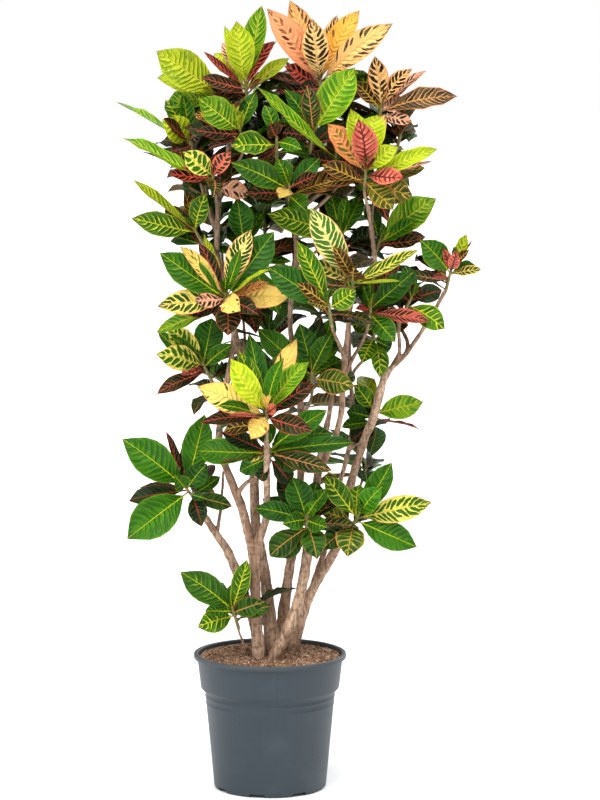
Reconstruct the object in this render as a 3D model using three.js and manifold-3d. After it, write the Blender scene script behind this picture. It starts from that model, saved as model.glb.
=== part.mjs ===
// A potted croton: a plastic nursery pot of soil with seven woody stems, and leafy tips on them.
// Millimetres, +Z up. The origin is the middle of the pot's base, and the best side faces -Y.

import * as THREE from "three";
import { mergeVertices } from "three/addons/utils/BufferGeometryUtils.js";
import Module from "manifold-3d";

const wasm = await Module();
wasm.setup();

// ---- Pot ----
const pot = {
  sides: 28,
  height: 277,
  wall: 3,
  floor: 4.5,
  baseRadius: 113.8,
  baseCorner: 6,
  waistRadius: 132.4,
  waistHeight: 198,
  collarFoot: { radius: 141, height: 206 },
  collarTop: { radius: 147.7, height: 266 },
  lipRadius: 155,
  lipHeight: 10,
  lipEdge: { inset: 3, drop: 2 },
  insideStep: 1.5,
};
const drain = { count: 8, width: 30, height: 7, depth: 24, first: 32 };

// ---- Soil ----
const soilGap = 0.3;
const soilEdge = 269;
const soilMound = 5;
const moundPlace = 0.6;
const burial = 75;
const holeClearance = 0.4;

// ---- Wood ----
// Each limb is a list of [x, y, z, radius]. The first point of a trunk is at the soil.
const stems = {
  front: {
    trunk: [
      [-22, -38, 270, 15], [-24, -40, 300, 12.5], [-27, -44, 360, 11], [-30, -45, 435, 10.5],
      [-32, -43, 490, 12], [-44, -49, 535, 9.2], [-56, -55, 585, 9], [-70, -58, 620, 8.5],
      [-98, -60, 700, 7.5], [-98, -63, 765, 6.8], [-76, -80, 885, 6], [-70, -96, 940, 5.2],
    ],
    right: [
      [-32, -43, 488, 9], [-15, -60, 535, 8], [-6, -75, 570, 7.5], [-5, -92, 615, 7.3],
      [-5, -120, 660, 6.8], [-5, -148, 705, 6.2], [-5, -165, 735, 5.4],
    ],
  },
  tall: {
    trunk: [
      [8, 12, 270, 18], [0, 18, 330, 14.5], [-5, 20, 390, 12.5], [-15, 20, 465, 11], [-29, 15, 540, 10.5],
      [-32, 8, 650, 9.5], [-34, 5, 735, 8.5], [-46, 0, 825, 7.5], [-86, 4, 995, 6.5], [-104, 5, 1080, 6],
      [-104, 5, 1155, 5.5], [-94, 6, 1240, 4.5], [-80, 14, 1310, 4.2], [-62, 4, 1370, 3.8],
    ],
    left: [[-106, 5, 1132, 4.5], [-120, 10, 1165, 4], [-134, 22, 1215, 4]],
  },
  centre: {
    trunk: [
      [24, 52, 270, 14], [26, 52, 335, 12.5], [40, 48, 445, 10.5], [50, 44, 510, 9.5], [60, 40, 605, 8.5],
      [66, 34, 710, 8], [60, 24, 800, 7], [42, 4, 935, 5.5], [45, -5, 1015, 5], [54, -12, 1090, 4.8],
      [48, -34, 1170, 4.2],
    ],
    crown: [
      [55, -18, 1127, 4.5], [70, -6, 1200, 4.5], [82, 2, 1270, 4], [93, 10, 1335, 4], [97, 12, 1370, 4],
    ],
  },
  pale: {
    trunk: [
      [8, -62, 270, 14.5], [22, -63, 305, 12.5], [43, -62, 350, 12], [64, -61, 420, 11.2],
      [75, -57, 485, 10.5], [85, -50, 570, 9.8], [95, -42, 635, 9.6], [104, -37, 695, 8.2],
      [120, -33, 770, 5.7], [127, -42, 825, 4.5],
    ],
    reach: [
      [96, -42, 650, 7], [125, -50, 710, 6.5], [143, -58, 770, 6.5], [146, -65, 825, 6], [150, -75, 885, 6],
      [155, -85, 935, 5.5], [160, -98, 985, 5], [162, -104, 1000, 4.8],
    ],
  },
  right: {
    trunk: [
      [46, 20, 270, 13], [60, 18, 330, 11.5], [80, 13, 390, 10.5], [105, 5, 440, 10], [133, -4, 490, 9.5],
      [150, -5, 550, 9], [160, -2, 610, 8.8], [190, 5, 710, 8.6], [208, 4, 755, 8.8], [230, -5, 838, 7.4],
      [250, -6, 865, 5.5], [275, -6, 890, 5], [319, -4, 955, 4.5], [350, 0, 1010, 4],
    ],
    rise: [
      [230, -5, 838, 5.5], [230, 0, 885, 4.5], [226, 4, 945, 4.5], [219, 0, 1015, 4.5],
      [210, -15, 1085, 4.5], [196, -56, 1190, 4.2],
    ],
    slim: [
      [80, 15, 390, 7], [97, 26, 440, 6.5], [116, 31, 500, 6], [141, 32, 615, 5.5], [155, 36, 670, 5],
      [168, 42, 750, 4.7], [162, 45, 850, 4.5], [160, 40, 930, 4.5], [151, 16, 1065, 4],
    ],
    stub: [[238, -6, 850, 4], [264, 12, 895, 2.6]],
  },
  low: {
    trunk: [
      [-22, 46, 270, 11], [-36, 36, 340, 10.5], [-50, 22, 390, 10], [-67, 6, 440, 9.5], [-87, -10, 490, 9],
      [-109, -20, 525, 7.5], [-142, -35, 580, 5.5],
    ],
    rise: [[-107, -19, 522, 4], [-100, -14, 570, 3.5], [-96, -10, 612, 3.2], [-94, -5, 650, 2.8]],
  },
  shoot: {
    trunk: [[-44, -14, 270, 3.6], [-50, -28, 292, 3], [-60, -39, 320, 2.8], [-64, -44, 335, 2.8]],
  },
};
const woodSides = 6;
const twigSides = 3;
const twigSteps = 2;
const twigStart = 4.5;
const twigEnd = 3.2;

// ---- Leafy tips ----
// A tip is a short green shoot with leaves round it. `at` is its middle and `lean` is the way it
// points. `from` is the stem, the limb and the height that its twig leaves. A leaf is the place of
// its point from `at`, [x, y, z], its width, and how far its face turns up from the viewer, in
// degrees. `spare` is how many more leaves grow behind, and `round` how many grow all round.
const tips = {
  crown_left: {
    at: [-45, -20, 1410], lean: [-10, -25, 100], from: ["tall", "trunk", 1360], tone: "lime", spare: 1,
    leaves: [
      [-20, -15, 145, 58, 8], [30, 30, 175, 46, 15], [60, -5, 105, 30, 62], [-85, -10, 85, 26, 58],
      [-90, -45, 35, 34, 35], [-50, 30, 100, 36, 20], [-65, 50, 80, 44, 25], [45, 25, 45, 26, 30],
      [-65, 30, 0, 30, 30], [30, -50, 30, 20, 68], [-20, -55, -25, 24, 60], [85, 55, 70, 30, 30],
    ],
  },
  upper_left: {
    at: [-95, 30, 1390], lean: [-35, -20, 100], from: ["tall", "trunk", 1300], tone: "lime", spare: 2,
    leaves: [
      [-130, -35, 105, 76, 10], [-130, 10, 50, 50, 25], [-75, -55, 30, 18, 78], [-60, 45, 10, 36, 20],
      [20, -30, 0, 30, 20],
    ],
  },
  left_high: {
    at: [-155, 30, 1300], lean: [-30, -20, 100], from: ["tall", "left", 1215], tone: "lime", spare: 1,
    leaves: [
      [-60, -45, 60, 56, 10], [-20, -25, 110, 32, 20], [-55, 25, 95, 38, 20], [-55, -60, 65, 30, 50],
      [-155, 25, 90, 34, 74], [30, 10, 75, 26, 40], [5, 40, 70, 24, 40], [-45, -50, -5, 26, 50],
      [25, -20, -15, 24, 30],
    ],
  },
  left_fan: {
    at: [-110, -45, 1235], lean: [-10, -60, 80], from: ["tall", "trunk", 1150], tone: "dark", spare: 0,
    leaves: [
      [-185, -10, 90, 44, 60], [-60, -55, 65, 46, 12], [-90, -40, 20, 36, 40], [35, -35, 65, 34, 18],
      [-5, 30, 50, 24, 25], [0, -65, -25, 32, 15], [70, 15, -25, 40, 20], [-150, 50, 60, 16, 76],
    ],
  },
  left_mid: {
    at: [-140, -25, 1125], lean: [-45, -30, 80], from: ["tall", "trunk", 1040], tone: "green", spare: 1,
    leaves: [
      [-135, -30, 40, 50, 12], [15, -30, 90, 42, 15], [-135, 30, 115, 36, 64], [-70, 40, 55, 38, 25],
      [-30, 10, 95, 34, 40], [-40, 50, 25, 30, 60],
    ],
  },
  mid_high: {
    at: [-55, -50, 1325], lean: [-10, -50, 90], from: ["tall", "trunk", 1230], tone: "lime", spare: 1,
    leaves: [
      [-85, -35, 80, 60, 18], [30, 10, 90, 36, 20], [-90, -20, 15, 34, 30], [-65, -40, -20, 28, 60],
    ],
  },
  mid_crown: {
    at: [15, -70, 1310], lean: [0, -50, 90], from: ["centre", "crown", 1150], tone: "dark", spare: 0,
    leaves: [
      [-90, -35, 0, 52, 30], [-15, -25, 45, 36, 20], [-25, 10, 80, 32, 15], [-40, -25, -40, 22, 50],
      [-65, 15, -25, 24, 55], [50, -45, -5, 28, 20],
    ],
  },
  crown_mid: {
    at: [85, -40, 1320], lean: [15, -40, 100], from: ["centre", "crown", 1260], tone: "green", spare: 1,
    leaves: [
      [85, -30, 145, 72, 12], [-10, -45, 110, 40, 12], [-60, -30, 15, 34, 40], [-55, 0, 100, 36, 25],
    ],
  },
  crown_centre: {
    at: [100, 10, 1415], lean: [5, -20, 100], from: ["centre", "crown", 1360], tone: "peach", spare: 1,
    leaves: [
      [-105, -35, 165, 56, 10], [-60, 25, 180, 50, 5], [-15, -25, 145, 56, 0], [35, 25, 150, 36, 10],
      [80, 10, 160, 50, 20], [145, -25, 135, 54, 15], [-70, -20, 50, 40, 30], [-100, -10, 30, 28, 50],
      [-45, -55, 0, 42, 20], [-90, -25, 0, 30, 40],
    ],
  },
  crown_right: {
    at: [220, 10, 1365], lean: [20, -15, 100], from: ["centre", "crown", 1200], tone: "peach", spare: 0,
    leaves: [
      [-10, -15, 120, 42, 5], [65, -10, 95, 34, 28], [95, 20, 90, 26, 55], [50, 10, 30, 44, 20],
      [-45, 10, 65, 36, 20], [-55, 35, 90, 34, 20], [155, -10, 40, 46, 25], [65, -30, -10, 28, 30],
    ],
  },
  right_high: {
    at: [190, -75, 1245], lean: [5, -55, 90], from: ["right", "rise", 1180], tone: "coral", spare: 0,
    leaves: [
      [-15, -35, 120, 54, 8], [-75, -5, 110, 48, 20], [25, -10, 125, 58, 10], [-30, 20, 140, 48, 10],
      [40, 25, 125, 40, 30], [65, 0, 65, 40, 25], [145, -10, 60, 38, 35], [135, 10, 35, 30, 60],
      [75, -50, 5, 40, 35], [120, 10, 20, 50, 40], [55, -25, -60, 54, 30], [-85, 5, -10, 30, 35],
      [20, -55, 45, 14, 60],
    ],
  },
  inner_high: {
    at: [135, -30, 1270], lean: [-10, -40, 90], from: ["centre", "crown", 1140], tone: "green", spare: 2,
    leaves: [
      [-160, -70, 160, 34, 45], [-60, 10, 15, 40, 30], [-10, 0, 50, 36, 20],
    ],
  },
  centre_high: {
    at: [40, -60, 1215], lean: [0, -60, 80], from: ["centre", "trunk", 1160], tone: "green", spare: 1,
    leaves: [
      [-115, -45, 65, 52, 12], [-25, -10, 70, 40, 20], [60, 10, 70, 40, 20], [-85, -30, 0, 36, 40],
      [55, -30, 40, 30, 35], [-20, -60, -5, 32, 30], [35, -20, -35, 42, 15],
    ],
  },
  mid_upper: {
    at: [145, 0, 1110], lean: [-10, -30, 100], from: ["right", "slim", 1060], tone: "green", spare: 2,
    leaves: [
      [-25, 10, 110, 38, 15], [10, -20, 100, 28, 35], [-150, -45, 65, 58, 12], [20, 30, 70, 40, 20],
    ],
  },
  right_upper: {
    at: [215, 15, 1095], lean: [30, -20, 100], from: ["right", "rise", 1000], tone: "green", spare: 2,
    leaves: [
      [120, 0, 105, 66, 18], [80, -40, 65, 38, 40], [90, -20, 25, 36, 40], [-20, 10, 90, 36, 20],
    ],
  },
  centre: {
    at: [165, -115, 1035], lean: [0, -60, 80], from: ["pale", "reach", 990], tone: "green", spare: 0,
    leaves: [
      [-85, -35, 160, 60, 8], [-40, -50, 85, 30, 20], [0, -65, 45, 46, 10], [-85, -35, 50, 36, 30],
      [130, -30, 75, 30, 35], [95, -50, 15, 16, 76], [90, 10, 45, 34, 40],
    ],
  },
  centre_low: {
    at: [120, -145, 985], lean: [-10, -55, 80], from: ["pale", "reach", 880], tone: "green", spare: 0,
    leaves: [
      [-125, -30, 95, 60, 10], [-65, 5, 145, 42, 15], [-65, -45, 65, 28, 30], [50, -40, 50, 44, 10],
      [-45, -50, 25, 28, 40],
    ],
  },
  right_mid: {
    at: [200, -65, 975], lean: [10, -50, 85], from: ["pale", "reach", 840], tone: "green", spare: 2,
    leaves: [
      [85, -20, 85, 52, 12], [50, -60, -50, 46, 20], [120, -10, -15, 34, 35], [-15, -25, 60, 24, 30],
      [-30, -45, 15, 16, 40],
    ],
  },
  far_right: {
    at: [360, 0, 1040], lean: [25, -10, 100], from: ["right", "trunk", 1010], tone: "green", spare: 0,
    leaves: [
      [-60, -30, 80, 54, 8], [35, 5, 90, 28, 35], [50, 30, 80, 12, 70], [-15, -25, 65, 20, 30],
      [10, -30, 65, 24, 10], [40, -10, 60, 20, 35], [65, -15, 20, 26, 45], [55, 20, 25, 30, 30],
      [-35, -30, 5, 16, 50], [-85, -10, 10, 28, 40],
    ],
  },
  right_low: {
    at: [275, -45, 990], lean: [40, -30, 80], from: ["right", "trunk", 870], tone: "green", spare: 0,
    leaves: [
      [75, -45, -45, 48, 12], [30, -10, 35, 36, 25], [-15, 20, 30, 32, 30], [-50, -10, -25, 30, 30],
    ],
  },
  left_front: {
    at: [-85, -125, 1005], lean: [-5, -60, 80], from: ["front", "trunk", 940], tone: "green", spare: 0,
    leaves: [
      [-130, -25, 100, 62, 10], [-90, -20, 115, 34, 30], [50, -15, 145, 48, 10], [30, -55, 110, 26, 30],
      [95, -5, 140, 68, 12], [90, -45, 70, 20, 70], [85, -55, 45, 26, 50], [125, -10, 10, 50, 20],
      [-135, -35, -5, 50, 12], [-60, -65, 10, 32, 30], [30, -85, -10, 44, 10], [65, -55, -20, 40, 25],
      [5, -65, -60, 52, 5], [-75, -10, -25, 42, 20], [-55, 25, 115, 32, 30], [-45, 35, 130, 28, 48],
    ],
  },
  left_back: {
    at: [-50, -10, 1090], lean: [0, -20, 100], from: ["tall", "trunk", 960], tone: "green", spare: 2,
    leaves: [
      [-15, -15, 115, 52, 8], [40, 10, 85, 36, 30], [110, 10, 5, 28, 50], [95, -10, -15, 26, 40],
      [70, 0, -120, 44, 20],
    ],
  },
  left_low: {
    at: [-125, -60, 860], lean: [-35, -40, 80], from: ["front", "trunk", 770], tone: "green", spare: 1,
    leaves: [
      [-80, -10, 90, 46, 15], [-70, -50, 75, 28, 40], [10, -10, 105, 60, 5], [-100, -30, 40, 52, 12],
      [55, -35, 60, 34, 25], [-50, -55, 0, 22, 50], [-100, -10, -45, 32, 20], [-100, 50, 75, 36, 42],
    ],
  },
  front: {
    at: [-5, -185, 780], lean: [0, -60, 80], from: ["front", "right", 730], tone: "gold", spare: 0,
    leaves: [
      [-135, -40, 70, 56, 12], [-70, -40, 125, 50, 8], [35, -25, 125, 32, 25], [85, -10, 115, 44, 25],
      [60, 30, 155, 40, 12], [-55, 15, 135, 38, 20], [95, -20, 70, 42, 15], [90, -60, -15, 42, 20],
      [-130, -20, -5, 30, 25], [-95, -45, 35, 28, 45], [-75, -60, 20, 14, 60], [-30, -75, -30, 42, 15],
      [20, -65, 35, 24, 30],
    ],
  },
  front_low: {
    at: [0, -135, 705], lean: [0, -65, 75], from: ["front", "trunk", 605], tone: "green", spare: 0,
    leaves: [
      [-55, -45, -25, 38, 10], [35, -70, -10, 44, 15], [-145, -15, -5, 54, 15], [-100, -60, -20, 12, 70],
      [125, -30, -30, 40, 15], [55, -50, -45, 34, 20], [135, -10, -45, 12, 78], [115, 10, 85, 46, 15],
      [170, 10, 20, 34, 20], [-45, 20, -55, 40, 40],
    ],
  },
  mid_inner: {
    at: [85, -50, 840], lean: [0, -40, 90], from: ["centre", "trunk", 740], tone: "green", spare: 2,
    leaves: [
      [85, -55, -5, 52, 8], [-25, 0, 115, 48, 10], [40, -10, 100, 42, 25], [-110, 0, 105, 52, 15],
      [50, -25, 65, 30, 40],
    ],
  },
  low_left: {
    at: [-160, -40, 610], lean: [-50, -35, 75], from: ["low", "trunk", 570], tone: "green", spare: 0,
    leaves: [
      [-135, -30, 115, 74, 10], [30, 5, 160, 60, 10], [-125, -50, -85, 82, 8], [-30, -50, 45, 36, 15],
      [35, -30, 65, 48, 12], [-125, 25, -20, 38, 25], [-105, 45, 5, 26, 40], [85, -10, -25, 34, 20],
      [25, -50, -60, 40, 8], [35, -40, -5, 20, 20], [-50, 50, 120, 22, 50], [-15, -10, 95, 26, 30],
      [60, 30, 30, 32, 40],
    ],
  },
  lowest: {
    at: [-70, -50, 360], lean: [-25, -25, 90], from: ["shoot", "trunk", 330], tone: "green", spare: 0,
    leaves: [
      [-110, -20, 95, 60, 10], [25, -15, 120, 38, 10], [-60, -50, 20, 32, 45], [-75, -35, -15, 50, 12],
      [60, -50, 40, 42, 15], [75, 40, 25, 36, 20], [30, 25, 75, 30, 30],
    ],
  },
  low_right: {
    at: [170, -65, 555], lean: [35, -55, 75], from: ["pale", "trunk", 600], tone: "green", spare: 0,
    leaves: [
      [75, 10, 120, 50, 12], [55, -45, 80, 46, 20], [-60, -20, 100, 44, 12], [155, -25, 45, 54, 10],
      [125, -45, -45, 58, 10], [-15, -60, -60, 60, 8], [-65, -35, -50, 44, 18], [-70, -5, 25, 32, 30],
      [10, 45, 70, 38, 20],
    ],
  },
  low_mid: {
    at: [75, -105, 560], lean: [-5, -60, 80], from: ["pale", "trunk", 485], tone: "green", spare: 0,
    leaves: [
      [-30, -10, 95, 56, 8], [-60, 25, 65, 34, 25], [20, -50, 55, 26, 15], [40, 15, 70, 34, 25],
      [-50, -45, 5, 38, 15], [-105, 0, 30, 42, 15], [40, -55, 0, 36, 20], [20, -50, -65, 52, 8],
      [-50, 20, -75, 44, 12],
    ],
  },
  right_side: {
    at: [210, 25, 755], lean: [15, -30, 90], from: ["right", "slim", 680], tone: "lime", spare: 1,
    leaves: [
      [100, -20, 35, 50, 12], [-40, -15, 70, 36, 15], [95, -10, -25, 14, 76], [-10, -40, -45, 34, 40],
      [-65, 15, -20, 32, 40],
    ],
  },
  mid_right: {
    at: [210, -20, 930], lean: [10, -40, 85], from: ["right", "slim", 830], tone: "green", spare: 1,
    leaves: [
      [-25, -50, -55, 42, 12], [10, -30, -85, 40, 20], [-45, 0, 20, 38, 20], [25, 10, 65, 36, 20],
    ],
  },
  inner_crown: {
    at: [62, 48, 1385], lean: [10, 15, 100], from: ["centre", "crown", 1310], tone: "dark", round: 7,
  },
  inner_top_left: {
    at: [-22, 42, 1325], lean: [10, 20, 100], from: ["tall", "trunk", 1250], tone: "dark", round: 7,
  },
  inner_top_right: {
    at: [262, 50, 1325], lean: [20, 20, 100], from: ["centre", "crown", 1180], tone: "dark", round: 7,
  },
  inner_right: {
    at: [165, 45, 1285], lean: [10, 20, 100], from: ["centre", "crown", 1215], tone: "green", round: 7,
  },
  inner_left: {
    at: [-128, 62, 1222], lean: [-15, 20, 100], from: ["tall", "trunk", 1120], tone: "dark", round: 7,
  },
  inner_middle: {
    at: [-12, 58, 1150], lean: [-10, 20, 100], from: ["centre", "trunk", 1030], tone: "green", round: 7,
  },
  inner_centre: {
    at: [102, 62, 1130], lean: [10, 20, 100], from: ["centre", "trunk", 1060], tone: "dark", round: 7,
  },
  inner_low: {
    at: [2, 52, 905], lean: [-15, 20, 100], from: ["centre", "trunk", 790], tone: "green", round: 7,
  },
  back_top_left: {
    at: [-20, 115, 1340], lean: [-5, 40, 100], from: ["tall", "trunk", 1240], tone: "lime", round: 6,
  },
  back_top: {
    at: [95, 125, 1365], lean: [5, 35, 100], from: ["centre", "crown", 1260], tone: "peach", round: 6,
  },
  back_high_right: {
    at: [215, 85, 1220], lean: [20, 45, 100], from: ["right", "rise", 1085], tone: "green", round: 6,
  },
  back_high: {
    at: [45, 140, 1200], lean: [0, 50, 100], from: ["centre", "trunk", 1040], tone: "green", round: 6,
  },
  back_high_left: {
    at: [-110, 105, 1145], lean: [-25, 45, 100], from: ["tall", "trunk", 1000], tone: "green", round: 6,
  },
  back_right: {
    at: [270, 90, 985], lean: [30, 45, 90], from: ["right", "trunk", 890], tone: "green", round: 6,
  },
  back_centre: {
    at: [110, 155, 1010], lean: [5, 55, 90], from: ["centre", "trunk", 860], tone: "gold", round: 6,
  },
  back_left: {
    at: [-60, 130, 975], lean: [-15, 55, 90], from: ["tall", "trunk", 825], tone: "green", round: 6,
  },
  back_low_left: {
    at: [-85, 95, 800], lean: [-30, 50, 90], from: ["tall", "trunk", 650], tone: "green", round: 6,
  },
  back_low: {
    at: [65, 150, 770], lean: [0, 55, 90], from: ["centre", "trunk", 605], tone: "coral", round: 6,
  },
  back_low_right: {
    at: [195, 100, 640], lean: [25, 50, 85], from: ["right", "trunk", 540], tone: "green", round: 6,
  },
};
// How far left and right the leaves placed by rule may reach, [height, left, right].
const spread = [
  [500, -110, 190], [650, -120, 200], [800, -170, 225], [900, -190, 260], [1000, -190, 300],
  [1150, -200, 290], [1300, -225, 285], [1400, -225, 285], [1460, -190, 235], [1540, -90, 190],
];
const shootSides = 4;
const shootBelow = 24;
const shootAbove = 26;
const shootFoot = 3.8;
const shootTop = 3;
const jointGap = 0.3;

// ---- Leaves ----
const leafArch = 0.09;
const leafKeel = 1.4;
const stalkRadius = 1.9;
const stalkLength = 8;
const stalkSunk = 1.2;
const longLeaf = 165;
// Places along a leaf from stalk to point, each with its share of the full width.
const longStations = [[0.22, 0.6], [0.52, 1], [0.81, 0.66]];
const shortStations = [[0.34, 0.84], [0.7, 0.86]];
// Stalks stand on the shoot from `lowest` below its middle to `rise` higher, upright ones at the top.
const stalkPlace = { lowest: -20, rise: 38, stagger: 2, turns: 3 };
// How far apart leaves are kept, and the smaller gap that is tried where that finds no place.
const clearances = [2.2, 1.1];
// A leaf that would touch another tip's leaves swings back, forward, up or down until it is clear.
const swings = [0, -14, 14, -28, 28, -42, 42, -56, 56, -70, 70, -84, 84];
const lifts = [0, 10, -10, 20, -20, 30, -30];
const goldenAngle = 137.5;
// Leaves placed by rule: their bearings, how steeply they rise in degrees, reach, width and turn.
const spareRule = { first: 30, arc: 120, step: 0.618, rise: [-5, 40], reach: [80, 125], width: [30, 44] };
const roundRule = { swerve: [0, 40], rise: [-10, 70], reach: [95, 160], width: [34, 48] };
const roundStray = { rise: [-6, 6], reach: [-10, 10] };
const ruleTurn = [-20, 20];
const seeds = { first: 101, step: 7 };

// ---- Finishes ----
const finishes = {
  pot: new THREE.MeshStandardMaterial({ color: "#4e565d", roughness: 0.5, metalness: 0 }),
  soil: new THREE.MeshStandardMaterial({ color: "#5a4636", roughness: 0.97, metalness: 0 }),
  bark: new THREE.MeshStandardMaterial({ color: "#b6977b", roughness: 0.88, metalness: 0 }),
  green: new THREE.MeshStandardMaterial({ color: "#3f6a14", roughness: 0.32, metalness: 0 }),
  lime: new THREE.MeshStandardMaterial({ color: "#b9c139", roughness: 0.35, metalness: 0 }),
  gold: new THREE.MeshStandardMaterial({ color: "#d9ab3c", roughness: 0.35, metalness: 0 }),
  dark: new THREE.MeshStandardMaterial({ color: "#33331d", roughness: 0.3, metalness: 0 }),
  peach: new THREE.MeshStandardMaterial({ color: "#f0b878", roughness: 0.38, metalness: 0 }),
  coral: new THREE.MeshStandardMaterial({ color: "#c9694c", roughness: 0.35, metalness: 0 }),
};

const viewerSide = new THREE.Vector3(0, -1, 0);

// ---- Solids ----

function solidOf(points, faces) {
  const mesh = new wasm.Mesh({
    numProp: 3,
    vertProperties: new Float32Array(points.flatMap((point) => point.toArray())),
    triVerts: new Uint32Array(faces.flat()),
  });
  return new wasm.Manifold(mesh);
}

function solidOfGeometry(geometry) {
  geometry.deleteAttribute("normal");
  geometry.deleteAttribute("uv");
  const merged = mergeVertices(geometry, 1e-4);
  const places = merged.getAttribute("position");
  const points = [];
  for (let i = 0; i < places.count; i += 1) {
    points.push(new THREE.Vector3().fromBufferAttribute(places, i));
  }
  const index = Array.from(merged.getIndex().array);
  const faces = [];
  for (let i = 0; i < index.length; i += 3) {
    const face = index.slice(i, i + 3);
    if (new Set(face).size === 3) faces.push(face);
  }
  return solidOf(points, faces);
}

function meshOf(solid, name, material) {
  const { vertProperties, triVerts } = solid.getMesh();
  const geometry = new THREE.BufferGeometry();
  geometry.setAttribute("position", new THREE.BufferAttribute(vertProperties, 3));
  geometry.setIndex(new THREE.BufferAttribute(triVerts, 1));
  geometry.computeVertexNormals();
  const mesh = new THREE.Mesh(geometry, material);
  mesh.name = name;
  return mesh;
}

function join(solids) {
  return solids.reduce((whole, piece) => whole.add(piece));
}

function boxOf(points) {
  return new THREE.Box3().setFromPoints(points);
}

// ---- Tubes: stems, twigs and shoots ----

function pathPoint([x, y, z]) {
  return new THREE.Vector3(x, y, z);
}

function ringRound(centre, along, radius, sides) {
  const side = viewerSide.clone().addScaledVector(along, -viewerSide.dot(along)).normalize();
  const other = new THREE.Vector3().crossVectors(along, side);
  return Array.from({ length: sides }, (_, i) => {
    const angle = (2 * Math.PI * i) / sides;
    return centre.clone()
      .addScaledVector(side, radius * Math.cos(angle))
      .addScaledVector(other, radius * Math.sin(angle));
  });
}

function tubeRings(path, sides, grow = 0) {
  const points = path.map(pathPoint);
  return path.map(([, , , radius], i) => {
    const before = points[Math.max(i - 1, 0)];
    const after = points[Math.min(i + 1, points.length - 1)];
    const along = after.clone().sub(before).normalize();
    return ringRound(points[i], along, radius + grow, sides);
  });
}

// A body through rings with the same number of points, with flat ends, or pointed ones where given.
function ringsSolid(rings, root, point) {
  const sides = rings[0].length;
  const last = (rings.length - 1) * sides;
  const points = rings.flat();
  const faces = [];
  for (let ring = 0; ring < rings.length - 1; ring += 1) {
    for (let i = 0; i < sides; i += 1) {
      const a = ring * sides + i;
      const b = ring * sides + ((i + 1) % sides);
      faces.push([a, b, b + sides], [a, b + sides, a + sides]);
    }
  }
  const start = root ? points.push(root) - 1 : 0;
  const end = point ? points.push(point) - 1 : last;
  for (let i = root ? 0 : 1; i < (root ? sides : sides - 1); i += 1) {
    faces.push([start, (i + 1) % sides, i]);
  }
  for (let i = point ? 0 : 1; i < (point ? sides : sides - 1); i += 1) {
    faces.push([end, last + i, last + ((i + 1) % sides)]);
  }
  return solidOf(points, faces);
}

// Every stretch of a tube on its own, as something for leaves to keep clear of.
function tubeObstacles(path, owner) {
  const rings = tubeRings(path, woodSides);
  return rings.slice(1).map((ring, i) => ({
    owner,
    box: boxOf([...rings[i], ...ring]),
    solid: ringsSolid([rings[i], ring]),
  }));
}

// ---- Pot and soil ----

function potSolid() {
  const { collarFoot, collarTop, lipRadius: lip, lipEdge, insideStep, height, wall } = pot;
  const outline = [
    [0, 0], [pot.baseRadius - pot.baseCorner, 0], [pot.baseRadius, pot.baseCorner],
    [pot.waistRadius, pot.waistHeight], [collarFoot.radius, collarFoot.height],
    [collarTop.radius, collarTop.height], [lip, height - pot.lipHeight],
    [lip, height - lipEdge.drop], [lip - lipEdge.inset, height],
    [collarTop.radius - wall, height], [collarFoot.radius - wall, collarFoot.height + insideStep],
    [pot.waistRadius - wall, pot.waistHeight + insideStep],
    [pot.baseRadius - wall, pot.floor], [0, pot.floor],
  ];
  const shell = new THREE.LatheGeometry(outline.map(([r, z]) => new THREE.Vector2(r, z)), pot.sides);
  shell.rotateX(Math.PI / 2);
  return solidOfGeometry(shell);
}

function drainSlots() {
  return Array.from({ length: drain.count }, (_, i) => {
    const box = new THREE.BoxGeometry(drain.width, drain.depth, drain.height * 2);
    box.translate(0, -pot.baseRadius, 0);
    box.rotateZ(THREE.MathUtils.degToRad(drain.first + (360 * i) / drain.count));
    return solidOfGeometry(box);
  });
}

function soilSolid() {
  const inside = (radius) => radius - pot.wall - soilGap;
  const { collarFoot, collarTop } = pot;
  const step = collarFoot.height + pot.insideStep;
  const rise = (soilEdge - step) / (pot.height - step);
  const edge = inside(THREE.MathUtils.lerp(collarFoot.radius, collarTop.radius, rise));
  const ledge = pot.insideStep + 3 * soilGap;
  const outline = [
    [0, pot.floor + soilGap], [inside(pot.baseRadius), pot.floor + soilGap],
    [inside(pot.waistRadius), pot.waistHeight + ledge],
    [inside(collarFoot.radius), collarFoot.height + ledge], [edge, soilEdge],
    [edge * moundPlace, soilEdge + soilMound * (1 - moundPlace ** 2)], [0, soilEdge + soilMound],
  ];
  const heap = new THREE.LatheGeometry(outline.map(([r, z]) => new THREE.Vector2(r, z)), pot.sides);
  heap.rotateX(Math.PI / 2);
  return solidOfGeometry(heap);
}

// ---- Stems ----

function rooted(trunk) {
  const [x, y, z, radius] = trunk[0];
  return [[x, y, z - burial, radius], ...trunk];
}

function limbOf(stem, name) {
  const limb = stems[stem][name];
  return name === "trunk" ? rooted(limb) : limb;
}

function pointAtHeight(path, height) {
  const last = path.length - 2;
  const found = path.findIndex((point, i) => i <= last && path[i + 1][2] >= height);
  const i = found < 0 ? last : found;
  const share = Math.min(Math.max((height - path[i][2]) / (path[i + 1][2] - path[i][2]), 0), 1);
  const point = path[i].map((value, axis) => THREE.MathUtils.lerp(value, path[i + 1][axis], share));
  const along = pathPoint(path[i + 1]).sub(pathPoint(path[i])).normalize();
  return { point: pathPoint(point), radius: point[3], along };
}

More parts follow.
